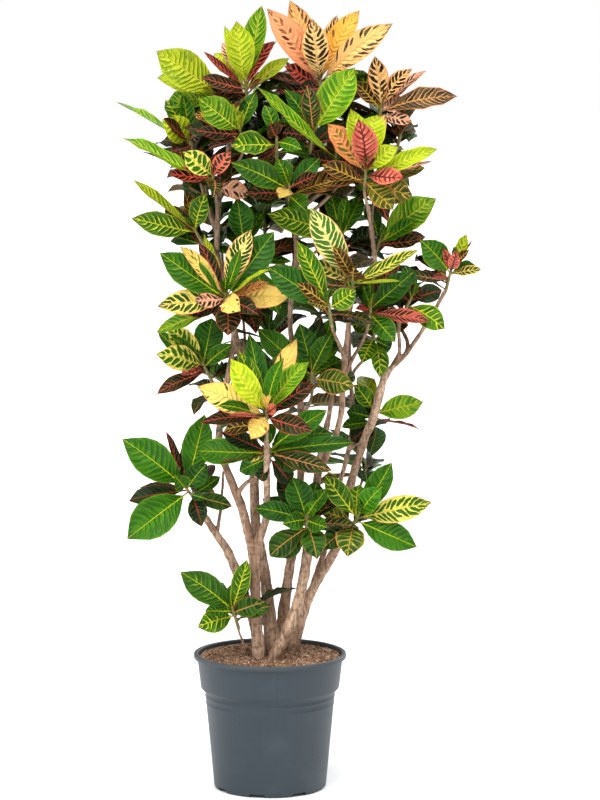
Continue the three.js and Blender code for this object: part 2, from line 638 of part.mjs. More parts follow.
// A twig leaves its limb partly along it, and arrives in line with the tip's shoot.
function twigPath(tip) {
  const [stem, limb, height] = tip.from;
  const start = pointAtHeight(limbOf(stem, limb), height);
  const axis = shootAxis(tip);
  const end = pathPoint(tip.at).addScaledVector(axis, -shootBelow);
  const span = start.point.distanceTo(end);
  const away = end.clone().sub(start.point).normalize().add(start.along).normalize();
  const curve = new THREE.CubicBezierCurve3(
    start.point,
    start.point.clone().addScaledVector(away, span * 0.35),
    end.clone().addScaledVector(axis, -span * 0.35),
    end,
  );
  const foot = Math.min(start.radius * 0.9, twigStart);
  return Array.from({ length: twigSteps + 1 }, (_, i) => {
    const share = i / twigSteps;
    return [...curve.getPoint(share).toArray(), THREE.MathUtils.lerp(foot, twigEnd, share)];
  });
}

function stemSolid(stem) {
  const limbs = Object.keys(stems[stem])
    .map((name) => ringsSolid(tubeRings(limbOf(stem, name), woodSides)));
  const twigs = Object.values(tips)
    .filter((tip) => tip.from[0] === stem)
    .map((tip) => twigSolid(tip));
  return join([...limbs, ...twigs]);
}

function twigSolid(tip) {
  const rings = tubeRings(twigPath(tip), twigSides);
  const axis = shootAxis(tip);
  const end = pathPoint(tip.at).addScaledVector(axis, -shootBelow);
  rings[rings.length - 1] = ringRound(end, axis, twigEnd, twigSides);
  return ringsSolid(rings);
}

// ---- Shoots and leaves ----

function shootAxis(tip) {
  return pathPoint(tip.lean).normalize();
}

function shootPath(tip) {
  const axis = shootAxis(tip);
  const middle = pathPoint(tip.at);
  const place = (along, radius) => [...middle.clone().addScaledVector(axis, along).toArray(), radius];
  return [place(jointGap - shootBelow, shootFoot), place(0, shootFoot), place(shootAbove, shootTop)];
}

function leafFrame(base, point, facing, turn) {
  const chord = point.clone().sub(base);
  const length = chord.length();
  const along = chord.clone().divideScalar(length);
  const front = facing.clone().addScaledVector(along, -facing.dot(along)).normalize();
  const over = new THREE.Vector3().crossVectors(along, front);
  if (over.z < 0) over.negate();
  const angle = THREE.MathUtils.degToRad(turn);
  const normal = front.multiplyScalar(Math.cos(angle)).addScaledVector(over, Math.sin(angle)).normalize();
  const across = new THREE.Vector3().crossVectors(normal, along);
  return { base, along, length, normal, across };
}

// Corners of a leaf's section at one place along it, given as [across, up] from its middle surface.
function leafSection(frame, place, corners) {
  const { base, along, length, normal, across } = frame;
  const arch = leafArch * length * 4 * place * (1 - place);
  const middle = base.clone().addScaledVector(along, place * length).addScaledVector(normal, arch);
  return corners.map(([side, height]) =>
    middle.clone().addScaledVector(across, side).addScaledVector(normal, height));
}

function bladeStations(length) {
  return length > longLeaf ? longStations : shortStations;
}

// A leaf from its stalk, sunk in the shoot, to its point: flat above, with a keel below its middle.
function leafSolid({ frame, width }) {
  const { base, along, length } = frame;
  const keeled = (half, rise, keel) => [[half, rise], [-half, rise], [0, rise - keel]];
  const stalk = keeled(stalkRadius, stalkRadius / 2, 1.5 * stalkRadius);
  const collar = leafSection(frame, stalkLength / length, stalk);
  const blade = bladeStations(length).map(([place, share]) =>
    leafSection(frame, place, keeled((width / 2) * share, 0, leafKeel)));
  const root = base.clone().addScaledVector(along, -stalkSunk);
  const point = base.clone().addScaledVector(along, length);
  const rings = [collar, ...blade];
  return { solid: ringsSolid(rings, root, point), box: boxOf([...rings.flat(), root, point]) };
}

// The space round a leaf that others keep out of, of its whole length or of the blade alone.
function leafEnvelope({ frame, width }, spread, withStalk) {
  const { base, along, length } = frame;
  const boxed = (half, thick) => [[half, thick], [-half, thick], [-half, -thick], [half, -thick]];
  const rings = bladeStations(length).map(([place, share]) =>
    leafSection(frame, place, boxed((width / 2) * share + spread, leafKeel / 2 + spread)));
  if (withStalk) rings.unshift(leafSection(frame, 0, boxed(stalkRadius + spread, stalkRadius + spread)));
  const point = base.clone().addScaledVector(along, length + spread);
  return { solid: ringsSolid(rings, null, point), box: boxOf([...rings.flat(), point]) };
}

function leafBase(tip, offset, order) {
  const axis = shootAxis(tip);
  const upright = (pathPoint(offset).normalize().dot(axis) + 1) / 2;
  const { lowest, rise, stagger, turns } = stalkPlace;
  return pathPoint(tip.at).addScaledVector(axis, lowest + rise * upright + stagger * (order % turns));
}

function seededDraw(seed) {
  let state = seed;
  return () => {
    state = (state * 16807) % 2147483647;
    return state / 2147483647;
  };
}

function mix([low, high], share) {
  return low + (high - low) * share;
}

function aimed(bearing, rise, reach) {
  const flat = Math.cos(THREE.MathUtils.degToRad(rise)) * reach;
  const turn = THREE.MathUtils.degToRad(bearing);
  return [flat * Math.cos(turn), flat * Math.sin(turn), Math.sin(THREE.MathUtils.degToRad(rise)) * reach];
}

// Turns a leaf that would reach out of the plant's spread further to the front or the back.
function withinSpread(tip, [x, y, z]) {
  const height = tip.at[2] + z;
  const found = spread.findIndex((row) => row[0] >= height);
  const i = Math.max(found < 0 ? spread.length - 1 : found, 1);
  const [low, high] = [spread[i - 1], spread[i]];
  const share = THREE.MathUtils.clamp((height - low[0]) / (high[0] - low[0]), 0, 1);
  const left = mix([low[1], high[1]], share) - tip.at[0];
  const right = mix([low[2], high[2]], share) - tip.at[0];
  const reach = Math.hypot(x, y);
  const across = THREE.MathUtils.clamp(THREE.MathUtils.clamp(x, left, right), -reach, reach);
  return [across, Math.sign(y) * Math.sqrt(reach ** 2 - across ** 2), z];
}

// Leaves behind a front tip, on the side away from the viewer.
function spareLeaves(tip, seed) {
  const draw = seededDraw(seed);
  return Array.from({ length: tip.spare ?? 0 }, (_, i) => {
    const bearing = spareRule.first + spareRule.arc * ((spareRule.step * (i + 1) + draw()) % 1);
    const rise = mix(spareRule.rise, draw());
    const offset = withinSpread(tip, aimed(bearing, rise, mix(spareRule.reach, draw())));
    const width = mix(spareRule.width, draw());
    return { offset, width, facing: shootAxis(tip), turn: mix(ruleTurn, draw()) };
  });
}

// Leaves all round a tip inside or behind the plant, the lowest ones longest.
function roundLeaves(tip, seed) {
  const draw = seededDraw(seed);
  const count = tip.round ?? 0;
  return Array.from({ length: count }, (_, i) => {
    const bearing = goldenAngle * i + mix(roundRule.swerve, draw());
    const rise = mix(roundRule.rise, i / count) + mix(roundStray.rise, draw());
    const reach = mix(roundRule.reach, 1 - i / count) + mix(roundStray.reach, draw());
    const width = mix(roundRule.width, draw());
    const offset = withinSpread(tip, aimed(bearing, rise, reach));
    return { offset, width, facing: shootAxis(tip), turn: mix(ruleTurn, draw()) };
  });
}

function readLeaves(tip) {
  return (tip.leaves ?? []).map(([x, y, z, width, turn]) => (
    { offset: [x, y, z], width, facing: viewerSide, turn }
  ));
}

function touches(candidate, obstacles) {
  return obstacles.some(({ box, solid }) =>
    box.intersectsBox(candidate.box) && !solid.intersect(candidate.solid).isEmpty());
}

// The first swing of a leaf that clears the wood, the other tips and the blades beside it.
function placeLeaf(tip, wish, order, clearance, obstacles, blades) {
  const base = leafBase(tip, wish.offset, order);
  for (const lift of lifts) {
    for (const swing of swings) {
      const moved = new THREE.Vector3(0, swing, lift);
      const point = pathPoint(tip.at).add(pathPoint(wish.offset)).add(moved);
      const leaf = { frame: leafFrame(base, point, wish.facing, wish.turn), width: wish.width };
      if (touches(leafEnvelope(leaf, clearance, true), obstacles)) continue;
      if (touches(leafEnvelope(leaf, clearance, false), blades)) continue;
      return leaf;
    }
  }
  return null;
}

function growTip(name, seed, obstacles) {
  const tip = tips[name];
  const others = obstacles.filter(({ owner }) => owner !== name);
  const wishes = [...readLeaves(tip), ...spareLeaves(tip, seed), ...roundLeaves(tip, seed)];
  const blades = [];
  const leaves = [];
  wishes.forEach((wish, order) => {
    let leaf = null;
    for (const clearance of clearances) leaf ??= placeLeaf(tip, wish, order, clearance, others, blades);
    if (!leaf) return;
    leaves.push({ owner: name, ...leafSolid(leaf) });
    blades.push(leafEnvelope(leaf, 0, false));
  });
  obstacles.push(...leaves);
  const shoot = ringsSolid(tubeRings(shootPath(tip), shootSides));
  return meshOf(join([shoot, ...leaves.map(({ solid }) => solid)]), `tip_${name}`, finishes[tip.tone]);
}

// ---- The whole plant ----

const group = new THREE.Group();
group.name = "potted_croton";
const drained = drainSlots().reduce((whole, slot) => whole.subtract(slot), potSolid());
group.add(meshOf(drained, "pot", finishes.pot));

const holes = Object.keys(stems).map((stem) => {
  const [[x, y, z, radius], ...above] = limbOf(stem, "trunk").slice(0, 3);
  const path = [[x, y, z - holeClearance, radius], ...above];
  return ringsSolid(tubeRings(path, woodSides, holeClearance));
});
const planted = holes.reduce((whole, hole) => whole.subtract(hole), soilSolid());
group.add(meshOf(planted, "soil", finishes.soil));

const obstacles = [];
for (const stem of Object.keys(stems)) {
  group.add(meshOf(stemSolid(stem), `stem_${stem}`, finishes.bark));
  for (const limb of Object.keys(stems[stem])) obstacles.push(...tubeObstacles(limbOf(stem, limb), stem));
}
for (const [name, tip] of Object.entries(tips)) {
  obstacles.push(...tubeObstacles(twigPath(tip), tip.from[0]));
  obstacles.push(...tubeObstacles(shootPath(tip), name));
}
Object.keys(tips).forEach((name, i) => group.add(growTip(name, seeds.first + seeds.step * i, obstacles)));

export default group;
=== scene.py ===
import math
import random

import bmesh
import bpy
import numpy as np
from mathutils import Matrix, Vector
from mathutils.kdtree import KDTree


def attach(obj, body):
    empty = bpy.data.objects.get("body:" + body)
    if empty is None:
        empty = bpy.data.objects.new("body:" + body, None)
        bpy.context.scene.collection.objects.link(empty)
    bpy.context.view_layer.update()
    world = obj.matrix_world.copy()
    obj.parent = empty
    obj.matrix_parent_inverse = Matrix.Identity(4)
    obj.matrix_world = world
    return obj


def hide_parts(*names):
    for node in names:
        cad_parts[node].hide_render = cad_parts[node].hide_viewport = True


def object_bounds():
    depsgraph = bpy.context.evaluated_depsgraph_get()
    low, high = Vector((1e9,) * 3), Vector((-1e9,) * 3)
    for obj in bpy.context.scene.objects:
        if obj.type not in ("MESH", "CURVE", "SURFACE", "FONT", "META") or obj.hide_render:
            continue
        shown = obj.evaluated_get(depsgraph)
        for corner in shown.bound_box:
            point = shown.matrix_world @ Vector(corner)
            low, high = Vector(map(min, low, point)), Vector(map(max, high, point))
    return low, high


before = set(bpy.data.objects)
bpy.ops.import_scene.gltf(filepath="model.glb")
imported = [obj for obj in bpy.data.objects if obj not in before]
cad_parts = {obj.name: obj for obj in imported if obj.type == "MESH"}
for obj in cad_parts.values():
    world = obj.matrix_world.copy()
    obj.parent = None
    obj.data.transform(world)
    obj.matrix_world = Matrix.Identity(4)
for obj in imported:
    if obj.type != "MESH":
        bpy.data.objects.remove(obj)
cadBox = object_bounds()

mm = 0.001

# the photo's viewpoint: a long lens, a little above the plant
view = {"place": (0.061, -7.1, 1.7), "down": 7.27, "lens": 159.75, "sensor": 36.0, "farthest": 60}


def srgb(red, green, blue):
    shares = (red / 255, green / 255, blue / 255)
    return tuple(c / 12.92 if c <= 0.04 else ((c + 0.055) / 1.055) ** 2.4 for c in shares)


def newObject(name, data):
    piece = bpy.data.objects.new(name, data)
    bpy.context.scene.collection.objects.link(piece)
    return piece


def meshObject(name, shape):
    # turns an edited mesh into an object
    data = bpy.data.meshes.new(name)
    shape.to_mesh(data)
    shape.free()
    return newObject(name, data)


def addCamera():
    data = bpy.data.cameras.new("plantCamera")
    data.lens = view["lens"]
    data.sensor_width = view["sensor"]
    data.clip_end = view["farthest"]
    camera = newObject("plantCamera", data)
    camera.location = view["place"]
    camera.rotation_euler = (math.radians(90 - view["down"]), 0, 0)
    bpy.context.scene.camera = camera


addCamera()


class Wire:
    # one output in a node tree; arithmetic on wires adds Math nodes
    def __init__(self, tree, socket):
        self.tree = tree
        self.socket = socket

    def math(self, operation, *others, kind="ShaderNodeMath"):
        node = self.tree.nodes.new(kind)
        node.operation = operation
        for slot, value in zip(node.inputs, (self,) + others):
            plug(self.tree, slot, value)
        return Wire(self.tree, node.outputs[0])

    def vector(self, operation, *others):
        return self.math(operation, *others, kind="ShaderNodeVectorMath")

    def times(self, amount):  # a vector wire times a number
        node = self.tree.nodes.new("ShaderNodeVectorMath")
        node.operation = "SCALE"
        plug(self.tree, node.inputs[0], self)
        plug(self.tree, node.inputs["Scale"], amount)
        return Wire(self.tree, node.outputs[0])

    def plus(self, other):  # a vector wire plus a vector
        return self.vector("ADD", other)

    def stretched(self, x, y, z):
        return self.vector("MULTIPLY", (x, y, z))

    def step(self, low, high):  # smooth rise from 0 to 1
        node = self.tree.nodes.new("ShaderNodeMapRange")
        node.interpolation_type = "SMOOTHSTEP"
        plug(self.tree, node.inputs["Value"], self)
        plug(self.tree, node.inputs["From Min"], low)
        plug(self.tree, node.inputs["From Max"], high)
        return Wire(self.tree, node.outputs[0])

    def parts(self):
        node = self.tree.nodes.new("ShaderNodeSeparateXYZ")
        plug(self.tree, node.inputs[0], self)
        return [Wire(self.tree, out) for out in node.outputs]

    def __add__(self, other):
        return self.math("ADD", other)

    def __sub__(self, other):
        return self.math("SUBTRACT", other)

    def __mul__(self, other):
        return self.math("MULTIPLY", other)

    def __truediv__(self, other):
        return self.math("DIVIDE", other)

    def __pow__(self, other):
        return self.math("POWER", other)

    def __radd__(self, other):
        return self + other

    def __rmul__(self, other):
        return self * other

    def __rsub__(self, other):
        return self * -1 + other

    def absolute(self):
        return self.math("ABSOLUTE")

    def sine(self):
        return self.math("SINE")

    def atLeast(self, other):
        return self.math("MAXIMUM", other)

    def atMost(self, other):
        return self.math("MINIMUM", other)


def plug(tree, slot, value):
    if isinstance(value, Wire):
        tree.links.new(value.socket, slot)
    else:
        slot.default_value = value


def addNode(tree, kind, settings=None, **inputs):
    node = tree.nodes.new(kind)
    for name, value in (settings or {}).items():
        setattr(node, name, value)
    for name, value in inputs.items():
        plug(tree, node.inputs[name.replace("_", " ")], value)
    return node


def outOf(tree, kind, settings=None, out=0, **inputs):
    return Wire(tree, addNode(tree, kind, settings, **inputs).outputs[out])


def joinVector(tree, x, y, z):
    return outOf(tree, "ShaderNodeCombineXYZ", X=x, Y=y, Z=z)


def noise(tree, place, scale=1.0, detail=2.0, roughness=0.5):
    return outOf(tree, "ShaderNodeTexNoise", Vector=place, Scale=scale, Detail=detail,
                 Roughness=roughness)


def mixColours(tree, share, first, second):
    node = tree.nodes.new("ShaderNodeMix")
    node.data_type = "RGBA"
    plug(tree, node.inputs[0], share)
    plug(tree, node.inputs[6], first if isinstance(first, Wire) else (*first, 1))
    plug(tree, node.inputs[7], second if isinstance(second, Wire) else (*second, 1))
    return Wire(tree, node.outputs[2])


def layered(tree, colours, base, shares):
    # the first colour of a table, with others of it laid over it in order, each by its share
    colour = srgb(*colours[base])
    for name, share in shares.items():
        colour = mixColours(tree, share, colour, srgb(*colours[name]))
    return colour


def newTree(name, inputs):
    # a geometry tree with named inputs; a number stands for a float, otherwise (kind, value)
    tree = bpy.data.node_groups.new(name, "GeometryNodeTree")
    tree.interface.new_socket("Geometry", in_out="INPUT", socket_type="NodeSocketGeometry")
    for label, value in inputs.items():
        kind, value = value if isinstance(value, tuple) else ("Float", value)
        socket = tree.interface.new_socket(label, in_out="INPUT", socket_type="NodeSocket" + kind)
        if value is not None:
            socket.default_value = value
    tree.interface.new_socket("Geometry", in_out="OUTPUT", socket_type="NodeSocketGeometry")
    enter = tree.nodes.new("NodeGroupInput")
    leave = tree.nodes.new("NodeGroupOutput")
    wires = {out.name: Wire(tree, out) for out in enter.outputs if out.name}
    return tree, wires, leave


def dressed(tree, geometry, material, smooth=False):
    if smooth:
        geometry = outOf(tree, "GeometryNodeSetShadeSmooth", Geometry=geometry)
    return outOf(tree, "GeometryNodeSetMaterial", Geometry=geometry, Material=material)


def tube(tree, curve, radius, sides):
    # a round tube along a curve, closed at both ends
    sized = outOf(tree, "GeometryNodeSetCurveRadius", Curve=curve, Radius=radius)
    circle = outOf(tree, "GeometryNodeCurvePrimitiveCircle", Resolution=sides, Radius=1.0)
    node = addNode(tree, "GeometryNodeCurveToMesh", Curve=sized, Profile_Curve=circle, Fill_Caps=True)
    if "Scale" in node.inputs:
        plug(tree, node.inputs["Scale"], radius)
    return Wire(tree, node.outputs[0])


def joined(tree, *geometries):
    node = tree.nodes.new("GeometryNodeJoinGeometry")
    for geometry in geometries:
        tree.links.new(geometry.socket, node.inputs[0])
    return Wire(tree, node.outputs[0])


def shapeWith(piece, tree, values=None):
    # runs a geometry tree on an object and gives back the result as a plain mesh
    modifier = piece.modifiers.new(tree.name, "NODES")
    modifier.node_group = tree
    keys = {item.name: item.identifier for item in tree.interface.items_tree if item.in_out == "INPUT"}
    for label, value in (values or {}).items():
        modifier[keys[label]] = value
    depsgraph = bpy.context.evaluated_depsgraph_get()
    mesh = bpy.data.meshes.new_from_object(piece.evaluated_get(depsgraph), depsgraph=depsgraph)
    bpy.data.objects.remove(piece)
    return mesh


def addPiece(name, mesh, slot, *replaced):
    piece = newObject(name, mesh)
    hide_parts(*replaced)
    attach(piece, "root")


def newMaterial(name, roughness, specular=0.5):
    material = bpy.data.materials.new(name)
    material.use_nodes = True
    tree = material.node_tree
    shader = tree.nodes["Principled BSDF"]
    shader.inputs["Roughness"].default_value = roughness
    shader.inputs["Specular IOR Level"].default_value = specular
    return material, tree, shader


def bump(tree, shader, height, strength, depth):
    node = addNode(tree, "ShaderNodeBump", Strength=strength, Distance=depth, Height=height)
    tree.links.new(node.outputs[0], shader.inputs["Normal"])


# where the stems run, in mm: each limb's points, as (x, y, z, radius)
stems = {
    "front": {
        "trunk": [
            (-22, -38, 270, 15), (-24, -40, 300, 12.5), (-27, -44, 360, 11), (-30, -45, 435, 10.5),
            (-32, -43, 490, 12), (-44, -49, 535, 9.2), (-56, -55, 585, 9), (-70, -58, 620, 8.5),
            (-98, -60, 700, 7.5), (-98, -63, 765, 6.8), (-76, -80, 885, 6), (-70, -96, 940, 5.2),
        ],
        "right": [
            (-32, -43, 488, 9), (-15, -60, 535, 8), (-6, -75, 570, 7.5), (-5, -92, 615, 7.3),
            (-5, -120, 660, 6.8), (-5, -148, 705, 6.2), (-5, -165, 735, 5.4),
        ],
    },
    "tall": {
        "trunk": [
            (8, 12, 270, 18), (0, 18, 330, 14.5), (-5, 20, 390, 12.5), (-15, 20, 465, 11),
            (-29, 15, 540, 10.5), (-32, 8, 650, 9.5), (-34, 5, 735, 8.5), (-46, 0, 825, 7.5),
            (-86, 4, 995, 6.5), (-104, 5, 1080, 6), (-104, 5, 1155, 5.5), (-94, 6, 1240, 4.5),
            (-80, 14, 1310, 4.2), (-62, 4, 1370, 3.8),
        ],
        "left": [
            (-106, 5, 1132, 4.5), (-120, 10, 1165, 4), (-134, 22, 1215, 4),
        ],
    },
    "centre": {
        "trunk": [
            (24, 52, 270, 14), (26, 52, 335, 12.5), (40, 48, 445, 10.5), (50, 44, 510, 9.5),
            (60, 40, 605, 8.5), (66, 34, 710, 8), (60, 24, 800, 7), (42, 4, 935, 5.5), (45, -5, 1015, 5),
            (54, -12, 1090, 4.8), (48, -34, 1170, 4.2),
        ],
        "crown": [
            (55, -18, 1127, 4.5), (70, -6, 1200, 4.5), (82, 2, 1270, 4), (93, 10, 1335, 4),
            (97, 12, 1370, 4),
        ],
    },
    "pale": {
        "trunk": [
            (8, -62, 270, 14.5), (22, -63, 305, 12.5), (43, -62, 350, 12), (64, -61, 420, 11.2),
            (75, -57, 485, 10.5), (85, -50, 570, 9.8), (95, -42, 635, 9.6), (104, -37, 695, 8.2),
            (120, -33, 770, 5.7), (127, -42, 825, 4.5),
        ],
        "reach": [
            (96, -42, 650, 7), (125, -50, 710, 6.5), (143, -58, 770, 6.5), (146, -65, 825, 6),
            (150, -75, 885, 6), (155, -85, 935, 5.5), (160, -98, 985, 5), (162, -104, 1000, 4.8),
        ],
    },
    "right": {
        "trunk": [
            (46, 20, 270, 13), (60, 18, 330, 11.5), (80, 13, 390, 10.5), (105, 5, 440, 10),
            (133, -4, 490, 9.5), (150, -5, 550, 9), (160, -2, 610, 8.8), (190, 5, 710, 8.6),
            (208, 4, 755, 8.8), (230, -5, 838, 7.4), (250, -6, 865, 5.5), (275, -6, 890, 5),
            (319, -4, 955, 4.5), (350, 0, 1010, 4),
        ],
        "rise": [
            (230, -5, 838, 5.5), (230, 0, 885, 4.5), (226, 4, 945, 4.5), (219, 0, 1015, 4.5),
            (210, -15, 1085, 4.5), (196, -56, 1190, 4.2),
        ],
        "slim": [
            (80, 15, 390, 7), (97, 26, 440, 6.5), (116, 31, 500, 6), (141, 32, 615, 5.5), (155, 36, 670, 5),
            (168, 42, 750, 4.7), (162, 45, 850, 4.5), (160, 40, 930, 4.5), (151, 16, 1065, 4),
        ],
        "stub": [
            (238, -6, 850, 4), (264, 12, 895, 2.6),
        ],
    },
    "low": {
        "trunk": [
            (-22, 46, 270, 11), (-36, 36, 340, 10.5), (-50, 22, 390, 10), (-67, 6, 440, 9.5),
            (-87, -10, 490, 9), (-109, -20, 525, 7.5), (-142, -35, 580, 5.5),
        ],
        "rise": [
            (-107, -19, 522, 4), (-100, -14, 570, 3.5), (-96, -10, 612, 3.2), (-94, -5, 650, 2.8),
        ],
    },
    "shoot": {
        "trunk": [
            (-44, -14, 270, 3.6), (-50, -28, 292, 3), (-60, -39, 320, 2.8), (-64, -44, 335, 2.8),
        ],
    },
}

